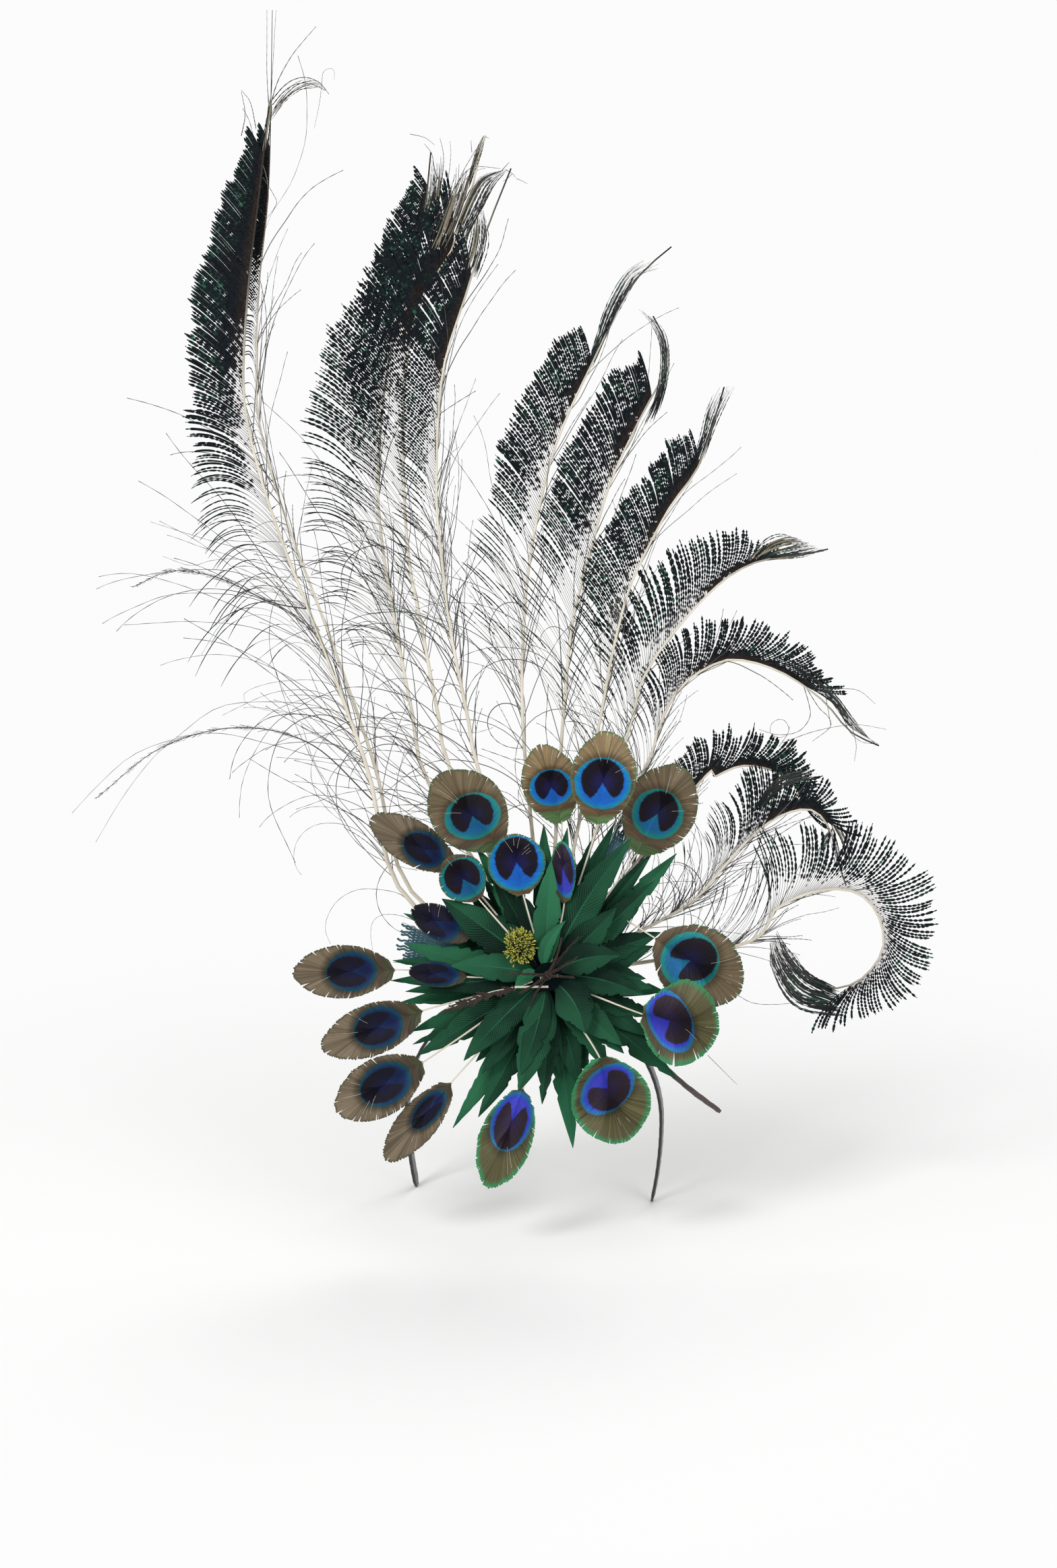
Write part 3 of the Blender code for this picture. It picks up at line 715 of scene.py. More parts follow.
class Paint(Sketch):
    """A sketch on a material, with the inputs of its shader at hand."""

    def __init__(self, material: Material) -> None:
        """Keeps the material, its tree and its shader's inputs.

        Args:
            material: a new material.
        """
        material.use_nodes = True
        super().__init__(material.node_tree)
        self.material = material
        self.shader = self.tree.nodes["Principled BSDF"]
        self.out = self.shader.inputs

    def dye(self, colour: object) -> None:
        """Feeds the base colour."""
        self.feed(self.out["Base Color"], colour)

    def bump(self, height: Socket, strength: float, distance: float) -> None:
        """Feeds a height from 0 to 1 to the normal; the full height is in millimetres."""
        bumped = self.node("Bump", Strength=strength, Distance=distance * MM, Height=height)
        self.feed(self.out["Normal"], bumped.outputs[0])


@dataclass(frozen=True)
class Finish:
    """What every finish has: a name, how rough it is and how much sheen it has."""

    name: str
    roughness: float = 0.6
    sheen: float = 0.0
    metallic: float = 0.0
    specular: float = 0.2

    @cached_property
    def paint(self) -> Paint:
        """The sketch on a new material of that name."""
        return Paint(bpy.data.materials.new(self.name))

    @cached_property
    def material(self) -> Material:
        """The material, built at its first use.

        Returns:
            The material.
        """
        paint = self.paint
        for name, value in (("Roughness", self.roughness), ("Metallic", self.metallic),
                            ("Specular IOR Level", self.specular), ("Sheen Weight", self.sheen),
                            ("Sheen Tint", (1.0, 1.0, 1.0))):
            paint.feed(paint.out[name], value)
        self.colour()
        return paint.material

    def colour(self) -> None:
        """Draws the finish's own nodes, which each kind of finish does in its own way."""
        raise NotImplementedError


@dataclass(frozen=True)
class BarbFinish(Finish):
    """The barbs of a sword feather: pale and bare, then dark with barbules, green in places, with painted
    green glints.
    """

    bare: Triple = (0.27, 0.26, 0.245)
    dark: Triple = (0.006, 0.008, 0.011)
    brown: Triple = (0.024, 0.017, 0.0145)
    green: Triple = (0.006, 0.016, 0.0135)
    painted_glint: Triple = (0.022, 0.085, 0.05)
    underside: Triple = (0.23, 0.2, 0.14)
    green_share: float = 0.5

    def colour(self) -> None:
        """Draws the nodes."""
        paint = self.paint
        patch, grain = paint.patches(55.0, 700.0, 0.12)
        along, tone = paint.value("along"), paint.value("tone")
        tint = paint.times(patch, paint.step(along, 0.15, 0.6))
        dark = paint.mix(paint.step(along, 0.0, 0.3), self.brown, self.dark)
        dark = paint.mix(paint.times(tint, self.green_share), dark, self.green)
        # Painted highlight: bright green glints on short random spots of the green patches, towards the
        # barbs' outer parts.
        dark = paint.mix(paint.times(paint.step(tone, 0.72, 1.0), tint), dark, self.painted_glint)
        dark = paint.shaded(dark, paint.scaled(tone, 0.8, 0.6))
        dark = paint.mix(paint.scaled(paint.value("under"), 0.25), dark, self.underside)
        dark = paint.mix(paint.value("rise"), dark, self.underside)
        paint.dye(paint.mix(paint.value("herl"), self.bare, dark))
        paint.bump(grain, 0.4, 0.15)


@dataclass(frozen=True)
class QuillFinish(Finish):
    """A quill: ivory at the root and darker towards the tip, with fine lines along it."""

    ivory: Triple = (0.74, 0.69, 0.58)
    tip: Triple = (0.028, 0.02, 0.015)
    stain: Triple = (0.36, 0.3, 0.21)
    tip_from: float = 0.74

    def colour(self) -> None:
        """Draws the nodes."""
        paint = self.paint
        patch, grain = paint.patches(38.0, 520.0, 0.22)
        colour = paint.mix(paint.times(patch, 0.35), self.ivory, self.stain)
        ends = paint.step(paint.value("along"), self.tip_from, 1.0)
        paint.dye(paint.mix(ends, colour, self.tip))
        paint.bump(grain, 0.3, 0.1)


@dataclass(frozen=True)
class EyeFinish(Finish):
    """A peacock eye's barbs, coloured by their place on the disc."""

    notch: Triple = BLACK
    ring: Triple = BLACK
    ring_edge: Triple = BLACK
    core: Triple = BLACK
    pupil: Triple = BLACK
    halo: Triple = BLACK
    ground: Triple = BLACK
    rim: Triple = BLACK
    rim_from: float = 0.955
    underside: Triple = (0.11, 0.085, 0.055)

    def colour(self) -> None:
        """Draws the nodes."""
        paint = self.paint
        colours = {name: getattr(self, name.lower().replace(" ", "_"))
                   for name in Effect.IRIS_COLOURS}
        eye = paint.effect("peacock iris", Disc=paint.value("disc", "Vector"),
                           Along=paint.value("along"), Tone=paint.value("tone"),
                           Place=paint.place, Rim_From=self.rim_from, **colours)
        colour = paint.mix(paint.value("under"), eye.outputs["Color"], self.underside)
        paint.dye(colour)
        paint.feed(paint.out["Metallic"], paint.scaled(eye.outputs["Shine"], 0.35, 0.1))


@dataclass(frozen=True)
class LeafFinish(Finish):
    """A dyed green leaf feather: a pale midrib, oblique barbs, painted shade on its left half and painted
    shade towards its root.
    """

    light: Triple = (0.027, 0.152, 0.072)
    deep: Triple = (0.0035, 0.013, 0.009)
    midrib: Triple = (0.03, 0.17, 0.09)
    barb_count: float = 34.0

    def colour(self) -> None:
        """Draws the nodes."""
        paint = self.paint
        side, share, own_tone = paint.node("SeparateXYZ", Vector=paint.value("disc", "Vector")).outputs
        off_rib = paint.sum("ABSOLUTE", side)
        oblique = paint.sum("SUBTRACT", share, paint.times(off_rib, 0.16))
        line = paint.effect("threads", Along=oblique, Count=self.barb_count, Vector=paint.place,
                            Waver=1.6, Waver_Scale=120.0).outputs["Line"]
        patch, _ = paint.patches(42.0, 900.0, 0.25)
        # Painted shade: the left half of each leaf, past the midrib, is darker than the right by its own
        # random amount, as if the two sides of the fold caught the light unlike.
        half = paint.times(paint.step(side, -0.04, 0.04), paint.value("herl"))
        tone = paint.sum("SUBTRACT", paint.scaled(patch, 0.26, own_tone), half)
        tone = paint.sum("ADD", tone, paint.scaled(line, 0.26, -0.15))
        # Painted shade: each leaf is darker towards its root, where the leaves lie over one another, and
        # lighter towards its tip.
        tone = paint.sum("ADD", tone, paint.scaled(share, 0.4, -0.24), clamp=True)
        rib = paint.times(paint.step(off_rib, 0.055, 0.02), paint.step(share, 1.0, 0.3))
        colour = paint.mix(paint.scaled(rib, 0.55), paint.mix(tone, self.deep, self.light), self.midrib)
        paint.dye(colour)
        paint.bump(line, 0.35, 0.12)


@dataclass(frozen=True)
class TintedFinish(Finish):
    """A plain dyed material in two tones, with fine grain and, where it is wound, its turns."""

    base: Triple = (0.05, 0.05, 0.05)
    second: Triple = (0.08, 0.08, 0.08)
    patch_scale: float = 80.0
    grain_scale: float = 1500.0
    bump_strength: float = 0.5
    thread_count: float = 0.0

    def colour(self) -> None:
        """Draws the nodes."""
        paint = self.paint
        patch, height = paint.patches(self.patch_scale, self.grain_scale, 0.3)
        share = paint.scaled(height, 0.5, paint.scaled(patch, 0.3))
        share = paint.scaled(paint.value("tone"), 0.5, share)
        worn = paint.step(paint.value("rise"), 0.75, 1.0)
        share = paint.sum("ADD", share, paint.scaled(worn, 0.35), clamp=True)
        paint.dye(paint.mix(share, self.base, self.second))
        if self.thread_count:
            lines = paint.effect("threads", Along=paint.value("along"), Count=self.thread_count,
                                 Vector=paint.place, Waver=0.5, Waver_Scale=200.0)
            height = paint.scaled(lines.outputs["Line"], 0.7, paint.scaled(height, 0.3))
        paint.bump(height, self.bump_strength, 0.12)


@dataclass(frozen=True)
class StamenFinish(Finish):
    """The tuft's clipped barbs: dark at the root and yellow green at the cut end."""

    root: Triple = (0.012, 0.018, 0.004)
    body: Triple = (0.11, 0.13, 0.014)
    end: Triple = (0.4, 0.4, 0.06)

    def colour(self) -> None:
        """Draws the nodes."""
        paint = self.paint
        _, grain = paint.patches(300.0, 1800.0, 0.25)
        along = paint.value("along")
        colour = paint.mix(paint.step(along, 0.15, 0.65), self.root, self.body)
        colour = paint.mix(paint.step(along, 0.7, 1.0), colour, self.end)
        colour = paint.shaded(colour, paint.scaled(paint.value("tone"), 0.9, 0.5))
        paint.dye(colour)
        paint.bump(grain, 0.5, 0.1)


SATIN_RIBBON = TintedFinish("black_satin_ribbon", 0.32, 0.15, specular=0.5, base=(0.008, 0.007, 0.008),
                            second=(0.028, 0.026, 0.028), thread_count=900.0, bump_strength=0.35)
WOOL_FELT = TintedFinish("dark_wool_felt", 0.95, 0.5, base=(0.012, 0.014, 0.015),
                         second=(0.042, 0.045, 0.048), grain_scale=1300.0, bump_strength=0.9)
FLORISTS_TAPE = TintedFinish("florists_tape", 0.75, 0.1, base=(0.05, 0.036, 0.034),
                             second=(0.135, 0.105, 0.098), grain_scale=700.0)
BINDING_THREAD = TintedFinish("binding_thread", 0.9, specular=0.03, base=(0.002, 0.004, 0.005),
                              second=(0.003, 0.009, 0.009))
STIFF_NET = TintedFinish("stiff_net", 0.45, 0.1, metallic=0.25, base=(0.01, 0.04, 0.065),
                         second=(0.06, 0.14, 0.17), patch_scale=260.0)
NET_RIM = TintedFinish("pale_net_rim", 0.6, 0.2, base=(0.25, 0.33, 0.34), second=(0.55, 0.6, 0.6))
DARK_STEM = TintedFinish("dark_split_stem", 0.55, 0.1, base=(0.006, 0.005, 0.007),
                         second=(0.05, 0.032, 0.022), patch_scale=220.0)
STAMENS = StamenFinish("stamen_tuft", 0.6, 0.15)
GREEN_LEAF = LeafFinish("green_feather_leaf", 0.62, specular=0.07)
SWORD_BARB = BarbFinish("sword_barb", 0.7, specular=0.08)
IVORY_QUILL = QuillFinish("ivory_quill", 0.42)
LOOSE_HAIR = BarbFinish("loose_barb", 0.5, bare=(0.24, 0.23, 0.22), dark=(0.035, 0.034, 0.036),
                        brown=(0.06, 0.05, 0.042), green=(0.03, 0.05, 0.042), green_share=0.3)


class EyeLook(Enum):
    """The ways that the peacock eyes are coloured."""

    TEAL = EyeFinish("peacock_eye_teal", 0.42, 0.05, 0.0, 0.2, (0.009, 0.11, 0.27), (0.008, 0.145, 0.225),
                     (0.012, 0.2, 0.18), (0.009, 0.01, 0.05), (0.009, 0.006, 0.011),
                     (0.08, 0.056, 0.032), (0.142, 0.106, 0.06), (0.06, 0.1, 0.04))
    AZURE = EyeFinish("peacock_eye_azure", 0.42, 0.05, 0.0, 0.2, (0.012, 0.125, 0.48),
                      (0.01, 0.15, 0.6), (0.01, 0.23, 0.38), (0.014, 0.012, 0.085),
                      (0.009, 0.006, 0.014), (0.11, 0.075, 0.036), (0.24, 0.172, 0.088),
                      (0.09, 0.17, 0.06))
    VIOLET = EyeFinish("peacock_eye_violet", 0.42, 0.05, 0.0, 0.2, (0.045, 0.05, 0.42),
                       (0.03, 0.04, 0.44), (0.012, 0.13, 0.28), (0.03, 0.018, 0.06),
                       (0.022, 0.014, 0.022), (0.055, 0.05, 0.022), (0.096, 0.088, 0.038),
                       (0.03, 0.23, 0.085), 0.9)
    NAVY = EyeFinish("peacock_eye_navy", 0.42, 0.05, 0.0, 0.2, (0.006, 0.013, 0.062), (0.006, 0.026, 0.095),
                     (0.006, 0.055, 0.085), (0.007, 0.008, 0.04), (0.007, 0.006, 0.014),
                     (0.055, 0.042, 0.024), (0.158, 0.122, 0.078), (0.055, 0.06, 0.028), 0.96)


class Grown:
    """What has random numbers of its own, by its kind's seed and its number."""

    SEED = 0
    number: int

    @cached_property
    def rng(self) -> np.random.Generator:
        """Its own random numbers."""
        return draws(self.SEED + self.number)


@dataclass(frozen=True)
class Sheaf:
    """A bunch of long barbs that run between two border lines, where a feather's tip frays."""

    sword: int
    count: int
    half: float
    pale: float
    first: Spots
    last: Spots

    def mesh(self, layer: float) -> Mesh:
        """Builds the bunch.

        Args:
            layer: the layer in which it lies.

        Returns:
            The mesh.
        """
        rng = draws(300 + 20 * self.sword + self.count)
        count, t = self.count, BARB.shares
        across = ((np.arange(count) + rng.uniform(0.0, 1.0, count)) / count)[:, None]
        start = rng.uniform(0.0, 0.22, (count, 1))
        share = start + (rng.uniform(0.78, 1.0, (count, 1)) - start) * t
        across = across + np.clip(rng.normal(size=(count, 1)), -1, 1) * 0.12 * np.sin(3.0 * t)
        first, last = Route(self.first).at(share), Route(self.last).at(share)
        spots = with_layer(first + (last - first) * across[..., None], layer)
        spots = SPRAY.lift(spots, rng.uniform(0.2, 1.6, (count, 1)) * np.sin(2.2 * t))
        pale = (rng.random((count, 1)) < self.pale).astype(float)
        beads = 1 - (1 - pale) * 0.65 * (rng.random((count, len(t))) < 0.5) * smooth(0.1, 0.3, t)
        taper = (1 - 0.75 * smooth(0.6, 1.0, t)) * smooth(-0.1, 0.2, t)
        tone = rng.random((count, 1))
        return BARB.lay(spots, self.half * (0.9 + 0.5 * pale) * beads * taper, 0.14, along=0.3 + 0.5 * t,
                        tone=tone, herl=1 - 0.25 * t, rise=pale, roll=rng.normal(size=(count, 1)) * 0.3)


SHEAVES = (
    Sheaf(1, 12, 0.32, 0.2, course("-158.5 453, -155.5 466, -153.5 475.5, -153.5 485.5"), course("-153 453,"
        "-152 466, -151 475.5, -151.5 483.5")),
    Sheaf(2, 8, 0.26, 0.1, course("-153 471.5, -147 481.5, -137.5 491, -126.5 493, -121.5 487.5"),
        course("-152.5 469, -144.5 480.5, -135.5 487.5, -126 489, -119 483")),
    Sheaf(3, 22, 0.34, 0.2, course("-76 398, -70.5 414.5, -66.5 429, -65 447.5"), course("-62 409,"
        "-59 423.5, -57.5 439.5, -57.5 454.5")),
    Sheaf(4, 10, 0.34, 0.3, course("-46.5 429, -42.5 442, -39 454.5, -35 463"), course("-43.5 432,"
        "-39 445.5, -35.5 454.5, -33.5 463.5")),
    Sheaf(4, 32, 0.34, 0.18, course("-70.5 390.5, -63.5 409, -56 428.5, -52 441"), course("-55.5 399,"
        "-49 417.5, -44.5 432, -41 444.5")),
    Sheaf(4, 12, 0.34, 0.35, course("-65 379, -57.5 392, -49 402.5, -46 412"), course("-59 382, -51 394.5,"
        "-44.5 406.5, -43 414.5")),
    Sheaf(5, 34, 0.36, 0.18, course("-55 399, -46 423.5, -37 439, -23 443.5"), course("-44.5 405, -35 422.5,"
        "-28.5 434.5, -21.5 443.5")),
    Sheaf(5, 28, 0.34, 0.28, course("-50.5 379, -46 399, -42 414.5, -38.5 425"), course("-39 381,"
        "-33.5 401.5, -33.5 414.5, -35 425.5")),
    Sheaf(6, 24, 0.34, 0, course("20 327.5, 26 348, 32.5 368, 43 386.5, 57.5 396.5"), course("25 335,"
        "33.5 354.5, 41.5 370, 51 385, 64.5 389")),
    Sheaf(7, 22, 0.34, 0, course("51 299.5, 60 322, 62 344, 57 358, 49 368"), course("60 305, 66 327.5,"
        "66.5 346, 63.5 356, 57 362.5")),
    Sheaf(8, 20, 0.34, 0, course("76 274, 83 294, 87 311.5, 92 324.5"), course("84.5 279.5, 91 299.5,"
        "96.5 312.5, 103.5 325")),
    Sheaf(9, 46, 0.42, 0.12, course("108.5 227.5, 117.5 237.5, 128 242.5, 137.5 241"), course("117.5 228.5,"
        "130.5 230, 141.5 231, 154 234")),
    Sheaf(10, 26, 0.36, 0, course("121.5 170, 141.5 160, 157 150, 166 137.5, 181.5 128"), course("125 178.5,"
        "147.5 166.5, 159.5 153.5, 168.5 141.5, 180.5 126.5")),
    Sheaf(12, 16, 0.34, 0.2, course("153 86, 156 74, 158.5 61, 159 50.5"), course("156.5 89.5, 166.5 76,"
        "168.5 63, 166.5 51")),
    Sheaf(12, 8, 0.34, 0, course("156.5 83, 151.5 76, 149 69.5, 146 58.5"), course("157 82, 155 74,"
        "154.5 67.5, 154 58.5")),
    Sheaf(12, 34, 0.4, 0, course("111 88, 120.5 104.5, 130 112, 143.5 116"), course("117 89.5, 126 101.5,"
        "137 107.5, 151.5 109")),
    Sheaf(13, 60, 0.52, 0, course("160 -6, 142 3, 132 15, 126 26"), course("165 -22, 138 -15, 124.5 3,"
        "121.5 19")),
)


@dataclass(frozen=True)
class SwordFeather(Grown):
    """A tall peacock sword feather: its quill, the vane on its left and its loose barbs."""

    SEED = 100
    CAD_LEAN = 0.55
    ROOT_SPACING = 2.1

    number: int
    layer: float
    tip_layer: float
    vane_from: float
    widths: Spots
    root_width: float
    quill: Spots
    dark_from: float = 0.66
    solid: float = 0.2
    density: float = 0.72
    density_top: float = 0.82
    parting: float = 0.05
    hairs: int = 40
    hair_reach: float = 120.0
    right_share: float = 0.6
    vane_to: float = 0.87
    bare: float = 0.14
    tip_width: float = 0.9
    barb_step: float = 1.75
    lean: float = 0.85
    droop: float = 0.1
    brush: float = 1.0
    clump: float = 0.0
    sweep: float = 0.5
    bead: float = 1.1
    darkening: float = 1.0

    @cached_property
    def route(self) -> Route:
        """The line of the quill, from the core's side."""
        return Route((SPRAY.seat_towards(*self.quill[0]), *self.quill))

    def half_quill(self, share: Array) -> Array:
        """Half the quill's width in millimetres at shares of its length."""
        share = np.clip(share, 0.0, 1.0)
        return (self.root_width + (self.tip_width - self.root_width) * share) / 2

    def layer_at(self, share: Array) -> Array:
        """The layer in which the feather lies there."""
        return self.layer + (self.tip_layer - self.layer) * np.clip(share, 0.0, 1.0)

    def shaft(self) -> Mesh:
        """The quill.

        Returns:
            The mesh.
        """
        share = QUILL.shares[None]
        spots = SPRAY.lift(with_layer(self.route.at(share), self.layer_at(share)), 0.3)
        half = self.half_quill(share) * (1.35 - 0.35 * share)
        return QUILL.lay(spots, half, half * 0.8, along=share * self.darkening)

    def lines(self, share: Array, place: Array, lock: Array) -> Array:
        """The barbs' lines, before they part into locks.

        Args:
            share: where each barb leaves the quill, as a share of the quill's length.
            place: where it leaves, as a share of the vane's length.
            lock: the lock that each belongs to.

        Returns:
            u and v along each, as (barbs, rows + 1, 2).
        """
        rng, count, t = self.rng, len(share), BARB.shares
        lower = 1 - smooth(-0.15, 0.5, place)
        lean = self.lean + 0.3 * np.clip(place, 0.0, 1.0)**2 + self.brush * smooth(0.8, 1.0, place)**2
        lean = lean + self.sweep * lower
        ahead = (lean - self.CAD_LEAN) * np.interp(place, *zip(*self.widths)) / self.route.length
        width = np.interp(place + ahead / (1 - self.vane_from), *zip(*self.widths))
        width *= 1 + 0.045 * rng.normal(size=count)[lock] + 0.04 * rng.normal(size=count)
        width *= 1 + smooth(0.05, -0.25, place) * rng.uniform(-0.35, 0.45, count)
        arch = 0.15 + self.clump + self.droop * lower[:, None]
        out = self.half_quill(share)[:, None] * 0.5 + width[:, None] * ((1 - arch) * t + arch * t * t)
        rising = (width * lean)[:, None] * ((1 + arch) * t - arch * t * t)
        drooping = (width * self.droop * lower)[:, None] * t**3
        bending = rng.normal(size=count) * (0.014 + 0.1 * self.clump)
        bending = bending + rng.normal(size=count)[lock] * 0.3 * self.clump
        bending = (bending * width)[:, None] * t**2 * (1 + 3 * smooth(0.1, -0.3, place))[:, None]
        travel = self.route.travel(share, 0.05)
        return (self.route.at(share)[:, None] + leftward(travel)[:, None] * (out + bending)[..., None]
                + travel[:, None] * (rising - drooping + bending)[..., None])

    def cover(self, density: Array, herl: Array) -> Array:
        """How far each spot of the barbs is covered with barbules, from 0 where a nick parts them.

        Args:
            density: the share of each barb that is covered.
            herl: how likely each spot is to have barbules at all.

        Returns:
            The cover of each barb at each row.
        """
        rng, (count, rows) = self.rng, herl.shape
        steps = np.arange(rows) + np.cumsum(rng.random((count, rows)) < 0.16, axis=1)
        nick = (steps + rng.integers(0, 3, (count, 1))) % 3 == 0
        nick = nick & (rng.random((count, rows)) < 3 * (1 - density))
        bead = ~nick & (rng.random((count, rows)) < herl)
        least = 0.45 + 0.52 * density
        return np.where(bead, least + (1.1 - least) * rng.random((count, rows)), 0.0)

    def vane(self) -> Mesh:
        """The barbs of the vane, each a thin shaft with dark beads of barbules.

        Returns:
            The mesh.
        """
        rng, t = self.rng, BARB.shares
        share = np.concatenate((
            np.arange(self.vane_from - self.bare, self.vane_from, self.ROOT_SPACING / self.route.length),
            np.arange(self.vane_from, self.vane_to, self.barb_step / self.route.length)))
        place = (share - self.vane_from) / (self.vane_to - self.vane_from)
        kept = rng.random(len(share)) < 0.55 + 0.45 * smooth(0.0, 0.35, place)
        share, place = share[kept], place[kept]
        count = len(share)
        lock = np.cumsum(rng.random(count) < (0.36 if self.clump else 0.18))
        spots = self.lines(share, place, lock)
        tangent = unit(np.gradient(spots, axis=1))
        step = np.gradient(spots, axis=0)
        spacing = np.abs(step[..., 0] * tangent[..., 1] - step[..., 1] * tangent[..., 0])
        pull = np.minimum(self.parting * (0.3 + 3.0 * rng.random(count)[lock]**3), 0.7)
        gather = np.minimum(self.clump * rng.uniform(0.1, 1.4, count)[lock], 0.9)
        pull = pull[:, None] * smooth(0.18, 0.75, t) + gather[:, None] * smooth(0.35, 1.05, t)
        spots += (lock_middles(spots, lock) - spots) * np.minimum(pull, 0.92)[..., None]
        height = rng.normal(size=count)[lock][:, None] * 0.35 * t + rng.normal(size=(count, 1)) * 0.15
        spots = SPRAY.lift(with_layer(spots, self.layer_at(share)[:, None]), height)
        edge = np.clip(0.44 - 0.56 * place / self.dark_from, -0.4, 0.75) + 0.06 * rng.normal(size=count)
        herl = smooth(edge[:, None] - 0.12, edge[:, None] + 0.2, t[None])
        place = place[:, None]
        close = (1 - smooth(self.solid - 0.18, self.solid + 0.18, t)) * smooth(
            self.dark_from * 0.75, self.dark_from * 1.3, place)
        density = self.density + (self.density_top - self.density) * smooth(0.3, 0.75, place)
        density = (density + (1.1 - density) * close) * (0.72 + 0.28 * smooth(-0.1, 0.25, place))
        density = np.clip(density * rng.uniform(0.85, 1.15, (count, 1)) + 0.3 * close, 0.0, 1.0)
        cover = self.cover(density, herl)
        bead_limit = self.bead * (0.55 + 0.45 * smooth(0.0, 0.35, place))
        full = np.clip(spacing * (0.54 + 0.08 * close), 0.32, bead_limit)
        full = full * (0.6 + 0.4 * smooth(-0.05, 0.4, place))
        down = 0.09 * (1 - smooth(0.0, 0.35, t)) * smooth(0.0, 0.3, place)
        thin = np.minimum(0.12 + down, spacing * 0.4) * (1 - herl) + np.minimum(spacing * 0.14, 0.24) * herl
        half = (thin + (full - thin) * cover) * (1 - 0.65 * smooth(0.93, 1.0, t))
        tone = rng.random((count, len(t)))
        herl = np.maximum(cover, smooth(0.25, 0.9, herl))
        return BARB.lay(spots, half, 0.13, along=t, tone=tone, herl=herl,
                        roll=rng.normal(size=(count, 1)) * 0.22)

    def loose(self) -> Mesh:
        """The long loose barbs of the bare quill: arcs on its left, and close long ones on its right.

        Returns:
            The mesh.
        """
        rng, rows, count, t = self.rng, HAIR.rows, self.hairs, HAIR.shares
        side = np.where(rng.random(count) < self.right_share, -1.0, 1.0)
        right = side < 0
        share = rng.uniform(0.14, self.vane_from, count)
        share = np.minimum(np.where(right, share + rng.uniform(0.0, 0.3, count), share), 0.9)
        away = np.where(right, rng.uniform(0.04, 0.34, count), rng.uniform(0.12, 0.6, count))
        heading = bearing_of(self.route.travel(share)) + side * away
        length = self.hair_reach * rng.uniform(0.25, 1.0, count)**1.2 * np.where(right, 0.8, 1.0)
        curl = side * np.where(right, rng.uniform(-0.5, 0.5, count), rng.uniform(-0.3, 1.6, count))
        looping = (rng.random(count) < 0.16) & ~right
        curl = np.where(looping, curl + side * rng.uniform(1.5, 4.0, count), curl) / rows
        growth = rng.uniform(0.2, 1.8, (count, 1))
        turning = curl[:, None] * (growth + (2 - 2 * growth) * np.linspace(0.0, 1.0, rows))
        waves = rng.normal(size=(count, rows)) * 0.05
        turning = turning + sum(np.roll(waves, shift, axis=1) for shift in range(3)) / 3
        line = SPRAY.within_reach(wander(self.route.at(share), heading, turning, length))
        spots = with_layer(line, self.layer_at(share)[:, None])
        spots = SPRAY.lift(spots, rng.uniform(-1.6, 1.6, (count, 1)) * smooth(0.0, 0.3, t))
        beads = 1 - 0.5 * (np.arange(rows + 1) % 2) * smooth(0.4, 0.6, t)
        half = (0.26 - 0.07 * t) * rng.uniform(0.7, 1.2, (count, 1)) * beads
        herl = np.clip(rng.uniform(-0.1, 0.9, (count, 1)) + 0.7 * t, 0.0, 1.0)
        return HAIR.lay(spots, half, half * 0.8, along=t, tone=rng.random((count, 1)), herl=herl)

    def strays(self) -> Mesh:
        """The single loose barbs that have a course of their own.

        Returns:
            The mesh.
        """
        rows, t = [row.split(":") for row in STRAYS[self.number].split(";")], HAIR.shares
        lines = np.stack([Route(course(points)).at(t) for _, points in rows])
        layer = self.tip_layer if self.number > 1 else self.layer
        half = np.array([[float(half)] for half, _ in rows]) * (1 - 0.5 * t)
        half = half * (1 - 0.4 * (np.arange(len(t)) % 2))
        return HAIR.lay(SPRAY.lift(with_layer(lines, layer), 0.4), half, half * 0.7, along=t, tone=0.4,
                        herl=0.9)

    def build(self) -> None:
        """Builds the feather and ties it to its node."""
        name = f"sword_feather_{self.number:02d}"
        sheaves = [sheaf.mesh(self.tip_layer) for sheaf in SHEAVES if sheaf.sword == self.number]
        parts = [(self.shaft(), IVORY_QUILL), (self.vane(), SWORD_BARB), (self.loose(), LOOSE_HAIR),
                 *((mesh, SWORD_BARB) for mesh in sheaves)]
        if self.number in STRAYS:
            parts.append((self.strays(), LOOSE_HAIR))
        settle(f"{name}_barbs", "sword_feather", name, *parts)


